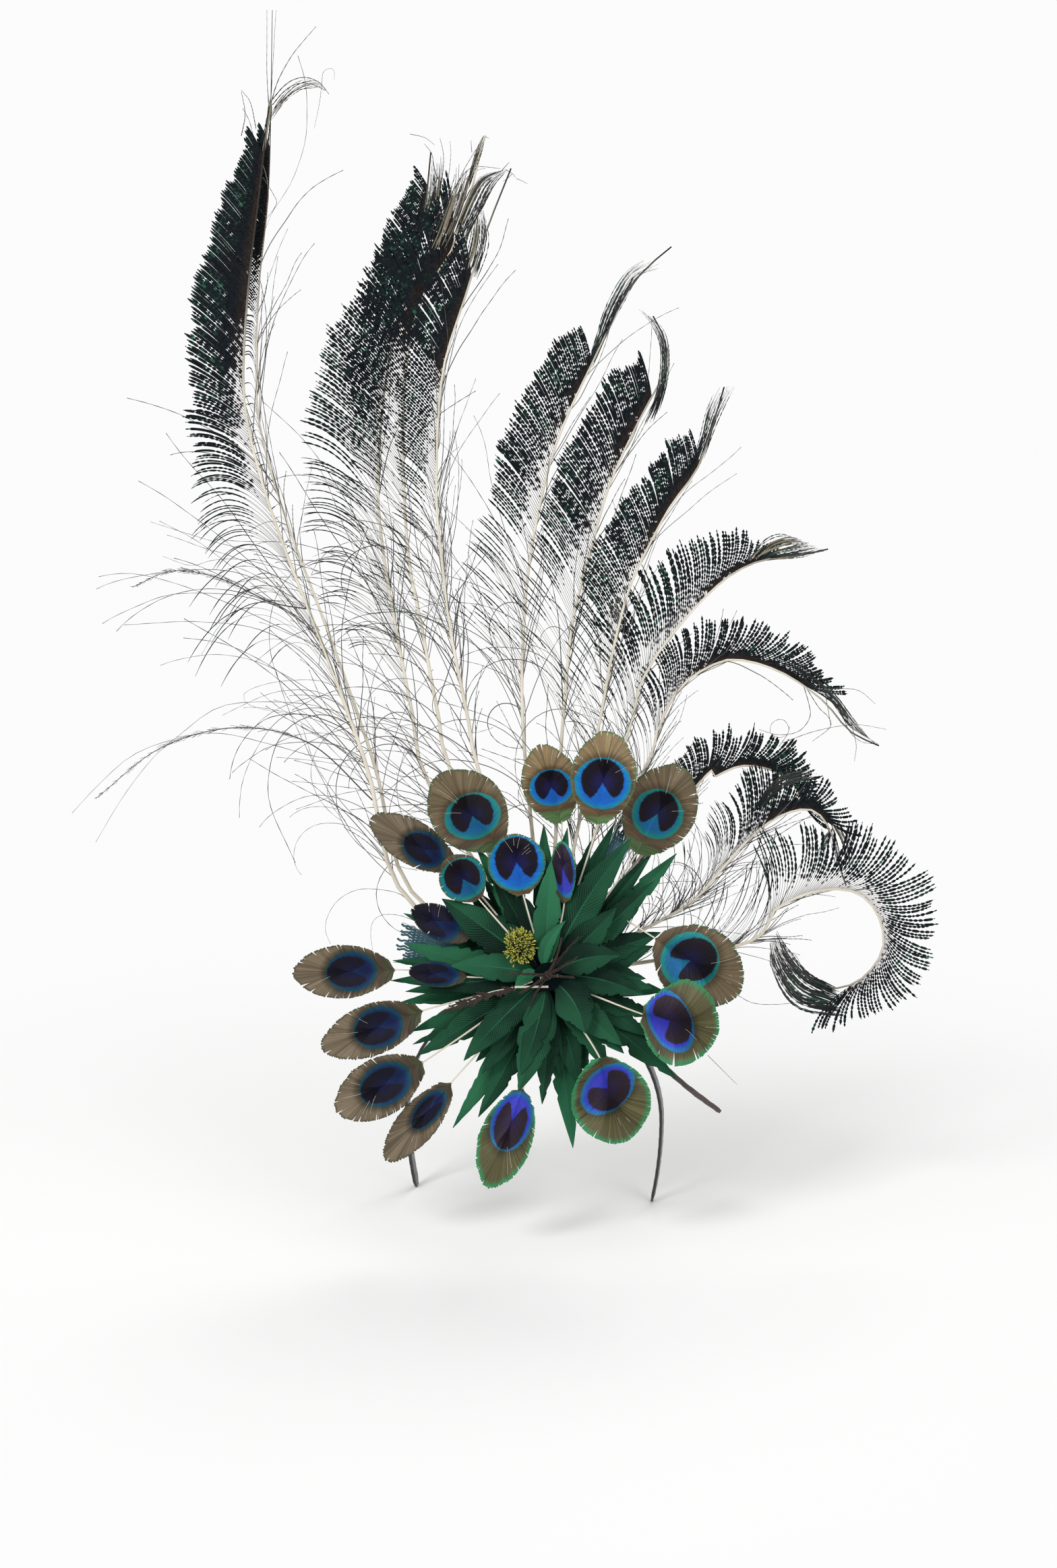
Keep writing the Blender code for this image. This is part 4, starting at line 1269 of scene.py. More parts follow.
# Stray barbs by sword feather: half the width in millimetres, a colon and the points that it passes.
STRAYS = {
    1: "0.22: -156 439, -150 429, -149 424, -156 414; 0.32: -168 462, -166 474, -168 486; 0.3: -160 466,"
       "-163 480, -168 487; 0.2: -71 35, -80 45, -92 48, -104 48, -114 43, -120 35, -122 26, -119 18; 0.18:"
       "-73 31, -82 34, -91 34, -96 30, -97 23, -96 15; 0.22: -100 118, -127 121, -149 127, -181 134,"
       "-207 130, -229 121, -248 104, -261 90; 0.2: -106 138, -127 149, -162 151, -183 147, -203 132,"
       "-216 121, -233 99, -248 74; 0.17: -113 158, -127 163, -149 162, -165 157, -166 151, -156 147,"
       "-140 144; 0.2: -138 222, -166 229, -183 229, -196 226, -211 231; 0.2: -142 230, -175 237, -196 243,"
       "-218 250; 0.2: -125 190, -136 205, -162 205, -179 194, -190 177",
    2: "0.24: -153 477, -154 496, -154 514, -154 531; 0.2: -152 477, -151 496, -150 514, -149 531; 0.34:"
       "-152 479, -148 492, -141 505, -134 514, -127 522; 0.4: -151 482, -145 489, -139 493, -132 494,"
       "-125 491, -120 485; 0.4: -151 479, -145 486, -139 490, -132 491, -126 489, -122 487; 0.36: -150 477,"
       "-144 483, -138 487, -131 488, -125 489; 0.16: -124 490, -123 497, -119 499, -117 497, -117 493;"
       "0.16: -124 490, -125 481, -128 466; 0.18: -137 506, -133 492, -132 477, -133 459, -139 440,"
       "-145 429, -151 420, -156 407, -160 390",
    3: "0.24: -75.5 463, -67.5 461, -62 457; 0.3: -59 435, -62 444, -63.5 452, -67.5 457.5; 0.28: -58 436.5,"
       "-57 447.5, -57.5 454.5, -59 460.5; 0.22: -55.5 431, -53.5 446, -53 453, -53.5 459",
    4: "0.32: -53.5 429, -47 439.5, -41.5 444.5, -35.5 445, -26 444; 0.26: -52 425.5, -45 438, -38.5 443,"
       "-34 444; 0.24: -41.5 453, -42 459.5; 0.26: -50.5 433, -46.5 442, -42 450, -35.5 460.5; 0.22:"
       "-34 461.5, -32 460.5; 0.24: -53.5 425.5, -50.5 436.5, -50 444.5; 0.24: -49 435, -48.5 446.5",
    5: "0.3: -25 443, -21 447.5; 0.26: -23 443.5, -19 441, -17.5 439; 0.22: -17 438.5, -13.5 437, -11 435.5;"
       "0.24: -19.5 441, -22 438.5, -24.5 437",
    10: "0.24: 150 158.5, 162 158.5, 171.5 157, 180 150; 0.28: 140 162, 143.5 150, 144 142.5, 138 135,"
       "127 133, 116 136; 0.28: 142 159, 149 148, 154.5 142.5, 155 137, 145.5 129.5; 0.26: 152.5 155.5,"
       "154.5 144.5, 155.5 137.5; 0.24: 167 138.5, 169.5 127.5, 168.5 118.5; 0.22: 129 128.5, 143.5 134,"
       "158.5 137.5, 171.5 138.5, 186 136; 0.26: 154 154, 162 142.5, 166.5 134, 173 129, 181.5 128; 0.2:"
       "127 126.5, 132.5 135, 130.5 140.5, 127 141.5, 123 139, 122.5 134, 127 131.5, 131.5 133, 133 137.5",
    12: "0.2: 100 -7, 112 -14, 125 -15, 140 -14, 158 -14; 0.18: 96 60, 120 62, 140 56, 160 64, 190 66",
    13: "0.2: 88 -43, 97 -52, 104 -59; 0.18: 140 4, 136 12, 128 14, 122 8, 128 0, 136 2",
}


@dataclass(frozen=True)
class LooseBarb:
    """One long loose barb that sweeps out from the first sword feather's bare quill."""

    number: int
    share: float
    points: Spots
    off_quill: float = 0.3
    herls: int = 90

    def build(self, sword: SwordFeather) -> None:
        """Builds the barb and ties it to its node.

        Args:
            sword: the feather that it grows on.
        """
        rng, share = draws(200 + self.number), np.array(self.share)
        count, t = self.herls, QUILL.shares
        side = leftward(sword.route.travel(share)) * (sword.half_quill(share) + self.off_quill)
        route = Route((tuple(sword.route.at(share) + side), *self.points))
        half = 0.42 - 0.24 * t
        shaft = QUILL.lay(with_layer(route.at(t[None]), sword.layer), half, half * 0.8, along=0.3 + 0.7 * t,
                          tone=0.4, herl=0.8)
        at = np.sort(rng.uniform(0.3, 1.0, count))
        side = np.where(np.arange(count) % 2 == 0, 1.0, -1.0)
        heading = bearing_of(route.travel(at)) + side * rng.uniform(0.4, 0.7, count)
        turning = np.repeat((-side * 0.5 / HAIR.rows)[:, None], HAIR.rows, axis=1)
        length = (2.2 + 2.4 * np.sin(math.pi * at)) * rng.uniform(0.7, 1.1, count)
        line = wander(route.at(at), heading, turning, length)
        fuzz = HAIR.lay(with_layer(line, sword.layer), 0.1, 0.07, along=0.5, tone=rng.random((count, 1)),
                        herl=0.9)
        name = f"loose_barb_{self.number}"
        settle(f"{name}_herl", "sword_feather", name, (shaft, LOOSE_HAIR), (fuzz, LOOSE_HAIR))


@dataclass(frozen=True)
class EyeFeather(Grown):
    """A trimmed peacock eye: barbs that fan out from the quill to the cut edge."""

    SEED = 300
    OUTLINE = ((0.0, 0.08), (0.06, 0.28), (0.14, 0.52), (0.24, 0.74), (0.34, 0.89), (0.45, 0.98),
               (0.55, 1.0), (0.65, 0.97), (0.75, 0.87), (0.85, 0.71), (0.93, 0.5), (1.0, 0.26),
               (1.02, 0.0))
    MIDDLE = 0.52
    WIDEST_FAN = 168.0
    FIRST_FAN = math.radians(40.0)
    FINE_STEPS = 40

    number: int
    layer: float
    foot: Spot
    tip: Spot
    width: float
    ring_at: float
    ring_across: float
    ring_along: float
    bearing: float
    look: EyeLook
    streaks: int = 6
    fray: float = 0.05
    dish: float = 0.9

    @property
    def axis(self) -> Array:
        """The direction from the foot to the tip."""
        return unit(np.subtract(self.tip, self.foot))

    def spine(self, share: Measure) -> Array:
        """The spot at a share of the way from the foot to the tip."""
        return np.array(self.foot) + np.subtract(self.tip, self.foot) * np.asarray(share)[..., None]

    def edge(self, turn: Array) -> Array:
        """The cut edge's distance from the disc's middle.

        Args:
            turn: directions at the disc's middle, in radians from the tip's.

        Returns:
            The distance in millimetres, in each direction.
        """
        share, wide = np.array(self.OUTLINE).T
        along, side = (share - self.MIDDLE) * math.dist(self.foot, self.tip), wide * self.width / 2
        angle, reach = np.arctan2(side, along), np.hypot(side, along)
        order = np.argsort(angle)
        return np.interp(np.abs(turn), angle[order], reach[order])

    def fan(self, turn: Array, t: Array, edge_share: Measure) -> Array:
        """Lines of the barbs that end at the cut edge in those directions.

        Args:
            turn: each barb's direction at the disc's middle, in radians from the tip's.
            t: shares along the barbs.
            edge_share: where each ends, as a share of the edge's distance.

        Returns:
            u and v along each, as (barbs, rows + 1, 2).
        """
        reach = (self.edge(turn) * edge_share)[:, None]
        way = self.axis * np.cos(turn)[:, None] + leftward(self.axis) * np.sin(turn)[:, None]
        end = self.spine(self.MIDDLE) + way * reach
        widest = math.radians(self.WIDEST_FAN)
        down = np.clip((np.abs(turn) - self.FIRST_FAN) / (widest - self.FIRST_FAN), 0.0, 1.0)
        root = self.spine(self.ring_at * (1 - 0.96 * down))
        hand = root + self.axis * 0.36 * np.linalg.norm(end - root, axis=1, keepdims=True)
        return bow(root[:, None], hand[:, None], end[:, None], t[None, :, None])

    def spread(self, line: Array) -> Array:
        """Lays lines on the disc, whose sides come forward like a dish's."""
        off = (line - np.array(self.foot)) @ leftward(self.axis) / (self.width / 2)
        return with_layer(line, self.layer + self.dish * (np.minimum(np.abs(off), 1.0)**2 - 0.5))

    def pattern(self, points: Array) -> Array:
        """The place of points on the ring, in its own radii.

        Args:
            points: points in metres.

        Returns:
            x across, y towards the tip and 0.
        """
        way = towards(math.radians(self.bearing))
        middle = self.spine(self.ring_at)
        corners = np.stack((middle, middle + leftward(way) * self.ring_across / 2,
                            middle + way * self.ring_along / 2))
        held = SPRAY.place(with_layer(corners, self.layer))
        flat = (points - held[0]) @ np.linalg.pinv((held[1:] - held[0]).T).T
        return with_layer(flat, 0.0)

    def disc(self) -> Mesh:
        """The barbs of the disc, side by side.

        Returns:
            The mesh.
        """
        rng, t, count = self.rng, RIBBON.shares, round(70 + 2.6 * self.width)
        turn = np.radians(np.linspace(-self.WIDEST_FAN, self.WIDEST_FAN, count))
        lock = np.cumsum(rng.random(count) < 0.22)
        cut = 1 + self.fray * (0.5 * rng.normal(size=count)[lock] + 0.4 * rng.normal(size=count))
        line = self.fan(turn, t, cut)
        spacing = np.linalg.norm(np.gradient(line, axis=0), axis=-1)
        half = np.maximum(spacing * 0.7, 0.14) * (1 - 0.35 * smooth(0.95, 1.0, t))
        pull = np.minimum(self.fray * 6.0 * smooth(0.72, 1.0, t), 0.5)
        line = line + (lock_middles(line, lock) - line) * pull[:, None]
        height = rng.normal(size=count)[lock][:, None] * 0.05 * t**2 + 0.03 * rng.normal(size=(count, 1))
        spots = SPRAY.lift(self.spread(line), height)
        shade = np.cumsum(rng.random(count) < 0.5)
        tone = 0.6 * rng.random(count)[shade] + 0.4 * rng.random(count)
        return RIBBON.lay(spots, half, 0.13, along=t, tone=tone[:, None], disc=self.pattern,
                          roll=0.07 * np.sign(turn)[:, None])

    def stem(self) -> Mesh:
        """The bare quill from the collar to the disc's middle, where it runs behind the barbs.

        Returns:
            The mesh.
        """
        end, t = self.spine(self.ring_at), QUILL.shares[None]
        route = Route((SPRAY.seat_towards(*self.foot), *STEM_BENDS.get(self.number, ()), self.foot,
                       tuple(end)))
        foot_share = 1 - math.dist(self.foot, end) / route.length
        past = smooth(foot_share - 0.04, foot_share + 0.04, t)
        spots = SPRAY.lift(with_layer(route.at(t), self.layer - 0.45 * self.dish * past), -0.5 * past)
        half = 0.62 - 0.4 * t**2
        return QUILL.lay(spots, half, half * 0.85, along=t * 0.9)

    def pale(self) -> Mesh:
        """A few pale barbs that lie on top.

        Returns:
            The mesh.
        """
        rng, count, steps = self.rng, self.streaks, self.FINE_STEPS
        turn = np.radians(rng.uniform(-70, 70, count))
        first, last = rng.uniform(0.45, 0.8, (count, 1)), rng.uniform(0.75, 1.0, (count, 1))
        line = self.fan(turn, np.linspace(0.0, 1.0, steps + 1), 1.0)
        index = (first + (last - first) * HAIR.shares) * steps
        low = np.clip(index.astype(int), 0, steps - 1)
        rest = (index - low)[..., None]
        rows = np.arange(count)[:, None]
        line = line[rows, low] * (1 - rest) + line[rows, low + 1] * rest
        return HAIR.lay(SPRAY.lift(self.spread(line), 0.32), 0.06, 0.05, along=0.2)

    def build(self) -> None:
        """Builds the eye and ties it to its node."""
        name = f"peacock_eye_{self.number:02d}"
        settle(f"{name}_barbs", "eye_feather", name, (self.disc(), self.look.value),
               (self.stem(), IVORY_QUILL), (self.pale(), IVORY_QUILL))


# Where a bare quill is bent on its way to its eye.
STEM_BENDS = {18: ((33, 25), (40, 32))}

FRONT, MIDDLE, BACK, REAR = 4.2, 0.6, -3.0, -8.6
TEAL, AZURE, VIOLET, NAVY = EyeLook

EYES = tuple(EyeFeather(number, *row) for number, row in enumerate((
    (BACK, (-49, 59), (-96, 87), 24, 0.4, 19, 25, 150, NAVY, 2, 0.02),
    (MIDDLE, (-25, 70), (-60, 110), 42, 0.46, 31, 25, 106, TEAL, 5, 0.012),
    (REAR, (8, 83), (-4, 127), 31, 0.48, 24, 20, 97, AZURE, 5, 0.02),
    (BACK, (27, 82), (34, 134), 36, 0.47, 31, 28, 90, AZURE, 5, 0.02),
    (REAR, (48, 66), (74, 115), 40, 0.48, 28, 27, 64, TEAL, 2, 0.015),
    (FRONT, (-37, 42), (-55, 65), 26, 0.52, 26, 23, 116, TEAL, 1, 0.01),
    (FRONT, (-13, 44), (-20, 78), 32, 0.55, 31, 30, 96, AZURE, 7, 0.015),
    (FRONT, (9, 39), (8, 74), 14, 0.59, 14, 32, 100, VIOLET, 1, 0.015),
    (MIDDLE, (-41, 21), (-74, 37), 19, 0.62, 22, 30, 152, NAVY, 2, 0.02),
    (BACK, (-82, 4), (-139, 2), 29, 0.45, 22, 28, 184, NAVY, 1, 0.02),
    (FRONT, (-43, 0), (-76, 3), 14, 0.59, 14, 29, 176, NAVY, 0, 0.01),
    (BACK, (-67, -18), (-123, -39), 28, 0.46, 23, 28, 200, NAVY, 2, 0.02),
    (MIDDLE, (-67, -46), (-115, -74), 32, 0.46, 23, 30, 208, NAVY, 4, 0.02),
    (BACK, (-52, -57), (-88, -100), 21, 0.37, 13, 27, 230, NAVY, 1, 0.02),
    (MIDDLE, (-13, -60), (-32, -115), 29, 0.35, 22, 34, 251, VIOLET, 2, 0.02),
    (FRONT, (28, -43), (41, -90), 44, 0.39, 34, 23, 312, VIOLET, 2, 0.012),
    (MIDDLE, (51, -20), (93, -30), 48, 0.39, 37, 23, 26, VIOLET, 2, 0.02),
    (BACK, (58, 22), (105, -8), 44, 0.43, 31, 32, 20, TEAL, 4, 0.02),
), start=1))


@dataclass(frozen=True)
class Leaf:
    """A leaf feather: its tip, its width, its bearing at the collar and its tone."""

    u: float
    v: float
    width: float
    bearing: float
    tone: float = 0.3
    split: float = 0.0


@dataclass(frozen=True)
class LeafRing(Grown):
    """A ring of leaf feathers bound to a collar."""

    SEED = 400

    number: int
    layer: float
    back: float
    front: float
    fillers: int = 0
    root: float = 5.6
    root_width: float = 2.4
    cup: float = 0.45
    thickness: float = 0.32
    collar_gap: float = 0.15

    def leaves(self) -> list[Leaf]:
        """The ring's own leaves, and plainer short ones that fill the gaps near the middle.

        Returns:
            The leaves.
        """
        rng = self.rng
        rows = [Leaf(*row) for row in LEAVES[self.number]]
        for index in range(self.fillers):
            bearing = 360.0 * (index + 0.5 * (self.number % 2)) / self.fillers + rng.uniform(-9, 9)
            reach = rng.uniform(50, 68)
            u, v = towards(math.radians(bearing + rng.uniform(-6, 6))) * reach
            rows.append(Leaf(u, v, rng.uniform(12, 16), bearing, rng.uniform(0.02, 0.3)))
        return rows

    def blade(self, leaf: Leaf) -> tuple[Array, Array]:
        """Where one leaf's points go.

        Args:
            leaf: the leaf.

        Returns:
            The points in metres, and the side, share and tone for the material.
        """
        rng, t, side = self.rng, BLADE.share, BLADE.side
        out, tip = towards(math.radians(leaf.bearing)), np.array((leaf.u, leaf.v), float)
        root = out * self.root
        bend = root + out * np.linalg.norm(tip - root) * 0.45
        swell = np.sin(math.pi * t**0.8)**0.86
        half = np.maximum(np.maximum(self.root_width * (1 - t), 1.12 * leaf.width * swell), 0.25) / 2
        shift = 0.3 * half * np.abs(side) * (1 - t)
        s = t[:, None]
        travel = unit((1 - s) * (bend - root) + s * (tip - bend))
        half = half * self.nicks(leaf)
        spots = bow(root, bend, tip, s) + leftward(travel) * (half * side)[:, None] + travel * shift[:, None]
        ripple = 0.16 * np.sin(side * 3.0 + t * rng.uniform(5, 9) + rng.uniform(0, 6)) * swell
        fold = self.cup * swell * (np.abs(side)**1.3 - 0.5)
        curl = rng.uniform(-0.35, 0.45) * t**2
        spots = with_layer(spots, self.layer + fold + ripple + curl)
        spots = SPRAY.lift(spots, BLADE.face * self.thickness / 2)
        return SPRAY.place(spots), np.stack((side, t, np.full(len(t), leaf.tone)), axis=-1)

    def nicks(self, leaf: Leaf) -> Array:
        """The torn margins.

        Args:
            leaf: the leaf.

        Returns:
            The share of the half width that is left at each point.
        """
        rng, t, side = self.rng, BLADE.share, BLADE.side
        left = np.ones(len(t))
        for hand in (-1, 1):
            for _ in range(rng.integers(2, 6)):
                at, wide = rng.uniform(0.35, 0.95), rng.uniform(0.012, 0.03)
                deep = rng.uniform(0.1, 0.3 + leaf.split)
                ramp = np.clip(1 - (at - t) / (wide * 3.0), 0.0, 1.0) * (t <= at)
                left = left - np.where(side * hand > 0, deep * ramp, 0.0) * (np.abs(side) > 0.55)
        return np.clip(left, 0.35, 1.0)

    def build(self) -> None:
        """Builds the ring and ties it to its node."""
        leaves = self.leaves()
        points, held = (np.stack(rows) for rows in zip(*(self.blade(leaf) for leaf in leaves)))
        tones = np.array([[leaf.tone] for leaf in leaves])
        # Each leaf's share of painted shade on its left half, carried to the material in the herl value.
        half_shades = self.rng.uniform(0.04, 0.3, tones.shape)
        blades = BLADE.repeat(points, disc=held, round_off=True, tone=tones, herl=half_shades, along=BLADE.share)
        name = f"leaf_ring_{self.number}"
        collar = wound_collar(self.back + self.collar_gap, self.front - self.collar_gap)
        settle(f"{name}_feathers", "green_feather", name, (blades, GREEN_LEAF), (collar, BINDING_THREAD))


RINGS = (
    LeafRing(1, -10.4, -12.1, -8.6, 7),
    LeafRing(2, -6.8, -8.6, -5.8, 6),
    LeafRing(3, -4.8, -5.8, -3, 6),
    LeafRing(4, -1.2, -3, 0.6, 6),
    LeafRing(5, 2.4, 0.6, 4.2, 5),
    LeafRing(6, 6, 4.2, 7.6),
    LeafRing(7, 9.2, 7.6, 10.4),
)

# The leaves of each ring.
LEAVES = {
    1: ((-2, 84, 12, 92, 0.35), (37, 85, 11, 68, 0.25), (58, 69, 11, 49, 0.3), (-81, -14, 11, -168, 0.55),
        (-85, 9, 11, 172, 0.55)),
    2: ((11, 82, 12, 84, 0.5), (55, 56, 15, 32, 0.28, 0.3), (71, -56, 15, -36, 0.25, 0.2),
        (14, -94, 14, -78, 0.8), (-52, -83, 12, -120, 0.85), (-75, -30, 12, -158, 0.55),
        (-86, -2, 11, -179, 0.42), (-79, 35, 12, 155, 0.5)),
    3: ((71, 68, 14, 40, 0.5, 0.3), (24, 75, 12, 72, 0.12), (56, -33, 15, -25, 0.12),
        (18, -62, 14, -70, 0.18), (-38, -77, 15, -112, 0.25), (-74, -37, 11, -150, 0.22),
        (-78, -8, 11, -176, 0.35), (58, 17, 16, 12, 0.14)),
    4: ((-39, 71, 14, 112, 0.8), (-78, 18, 15, 172, 0.55), (59, 53, 14, 38, 0.3, 0.3),
        (54, -1, 14, 10, 0.16), (42, -42, 15, -45, 0.22), (-3, -70, 12, -88, 0.15),
        (-71, -43, 15, -150, 0.18, 0.2)),
    5: ((-16, -63, 18, -98, 0.42), (-58, 43, 20, 140, 0.2), (46, 76, 17, 68, 0.3), (53, -10, 16, 5, 0.12),
        (-46, -46, 15, -140, 0.18)),
    6: ((40, 12, 16, 35, 0.2), (21, -31, 20, -35, 0.22), (-53, 6, 14, 165, 0.45), (2, 64, 14, 92, 0.8)),
    7: ((10, 31, 7, 105, 0.95), (-18, -7, 7, 165, 0.85)),
}


def wound_collar(back: float, front: float) -> Mesh:
    """A round collar in the middle of the spray between two layers, wound with thread.

    Args:
        back: the layer at its back.
        front: the layer at its front.

    Returns:
        The mesh.
    """
    layers = np.linspace(back, front, ROUND.rows + 1)
    line = SPRAY.place(with_layer(np.zeros((1, len(layers), 2)), layers))
    length = float(np.linalg.norm(line[0, -1] - line[0, 0])) / MM
    radius = (SPRAY.collar_radius - 0.3) * (0.93 + 0.07 * smooth(0, 6, ROUND.rows_to_end))
    return ROUND.bend(line, SPRAY.upward, radius, radius, along=0.5,
                      **ROUND.winding(max(2.0, round(length / 0.9)), 0.25))


@dataclass(frozen=True)
class FeatherCore:
    """The taped bundle of all the roots, which stands on the pad."""

    back: float = -23.5
    front: float = -12.25

    def build(self) -> None:
        """Builds the core and ties it to its node."""
        settle("feather_core_tape", "stem_tape", "feather_core",
               (wound_collar(self.back, self.front), FLORISTS_TAPE))


@dataclass(frozen=True)
class TapedStem:
    """The wrapped end of the flower's wire stem."""

    end: Spot = (95.0, -74.0)
    layer: float = -14.7
    radius: float = 1.5
    start: float = 8.6
    turns: float = 15.0

    def build(self) -> None:
        """Builds the stem and ties it to its node."""
        end, t = np.array(self.end), ROUND.shares
        start = unit(end) * self.start
        way = end - start
        route = Route((start, start + way * 0.5 + (0.5, 0.7), start + way * 0.8 - (0.2, 0.5), end))
        half = self.radius * (1 - 0.12 * t) * (1 - 0.35 * smooth(0.985, 1.0, t))
        half = half * (1 + 0.06 * np.sin(t * 31))
        wrap = ROUND.lay(with_layer(route.at(t[None]), self.layer), half, half, along=t, tone=0.3,
                         **ROUND.winding(self.turns, 0.28))
        settle("taped_stem_wrap", "stem_tape", "taped_stem", (wrap, FLORISTS_TAPE))


@dataclass(frozen=True)
class NetScrap:
    """A torn scrap of stiff net behind the flower, knotted in diamonds."""

    name: str
    end: Spot
    width: float
    threads: int
    knots: float
    layer: float = -12.35
    root_half: float = 1.5

    def spots(self, t: Array, lane: Array) -> Array:
        """Spots of the scrap.

        Args:
            t: shares of the length.
            lane: shares of the width, from -1 to 1.

        Returns:
            u, v and w on the last axis.
        """
        seat = np.array(SPRAY.seat_towards(*self.end))
        way = np.array(self.end, float) - seat
        off = lane * (self.root_half + (self.width / 2 - self.root_half) * t**1.5)
        return with_layer(seat + way * t[..., None] + leftward(unit(way)) * off[..., None], self.layer)

    def build(self, number: int) -> None:
        """Builds the scrap and ties it to its node.

        Args:
            number: the seed of its random numbers.
        """
        rng, count = draws(500 + number), self.threads
        t = THREAD.shares * rng.uniform(0.86, 1.03, (count, 1))
        lane = np.linspace(-1.0, 1.0, count)[:, None]
        hand = np.where(np.arange(count) % 2 == 0, 1.0, -1.0)[:, None]
        wiggle = hand / (count - 1) * np.sin(t * self.knots * math.pi) * 1.05
        spots = self.spots(t, np.clip(lane + wiggle, -1.05, 1.05))
        spots = SPRAY.lift(spots, 0.25 * np.sin(t * 9 + lane * 3))
        net = THREAD.lay(spots, 0.62, 0.16, along=t, tone=rng.random((count, 1)))
        rim_t = np.linspace(0.35, 1.0, THREAD.rows + 1)[None].repeat(2, axis=0)
        rim = THREAD.lay(self.spots(rim_t, np.array(((-1.02,), (1.02,)))), 0.22, 0.12, along=rim_t, tone=0.6)
        settle(f"{self.name}_threads", "stiff_net", self.name, (net, STIFF_NET), (rim, NET_RIM))


@dataclass(frozen=True)
class StamenTuft:
    """The clipped yellow-green tuft in the flower's middle."""

    GOLDEN_TURN = math.pi * (3 - math.sqrt(5))

    centre: Spot = (-15.5, 16.5)
    layer: float = 9.2
    radius: float = 4.8
    length: float = 6.4
    count: int = 330
    flocks: int = 90
    cushion_height: float = 5.0

    def build(self) -> None:
        """Builds the tuft and ties it to its node."""
        rng, count, t = draws(600), self.count, STUB.shares
        middle = np.array(((*self.centre, self.layer), (*SPRAY.seat_towards(*self.centre), self.layer)))
        (centre, seat), face = SPRAY.place(middle), SPRAY.front(middle)[0]
        side = unit(np.cross(SPRAY.upward, face))
        up = np.cross(face, side)
        order = np.arange(count) + 0.5
        flock = rng.integers(0, self.flocks, count)
        lean = np.arccos(1 - order / count * 0.6) + 0.2 * rng.normal(size=self.flocks)[flock]
        around = order * self.GOLDEN_TURN + 0.25 * rng.normal(size=self.flocks)[flock]
        flat = (0.85 * np.sin(lean) * np.cos(around))[:, None] * side
        flat = flat + (np.sin(lean) * np.sin(around))[:, None] * up
        way = (flat + np.cos(lean)[:, None] * face)[:, None]
        reach = self.length * (1 + 0.15 * rng.normal(size=self.flocks)[flock] + 0.07 * rng.normal(size=count))
        line = (centre + flat * self.radius * 0.85 * MM)[:, None] + way * (reach[:, None] * t * MM)[..., None]
        line = line + face * (1 - np.cos(t * 1.2))[:, None] * 0.6 * MM
        half = 0.2 + 0.2 * smooth(0.2, 0.8, t)
        stubs = STUB.bend(line, np.cross(way, side), half, half * 0.7, along=t, tone=rng.random((count, 1)))
        rise = ROUND.shares
        axis = centre + face * ((rise - 0.5) * self.cushion_height * MM)[:, None]
        dome = self.radius * np.sqrt(np.clip(1 - ((rise - 0.35) / 0.66)**2, 0.01, 1.0))
        cushion = ROUND.bend(axis[None], up, dome, dome, along=0.1, tone=0.2)
        stalk_line = seat + (centre - seat) * QUILL.shares[:, None]
        stalk = QUILL.bend(stalk_line[None], face, 0.9, 0.9, along=0.4)
        settle("stamen_tuft_barbs", "stamen", "stamen_tuft", (stubs, STAMENS), (cushion, STAMENS),
               (stalk, BINDING_THREAD))


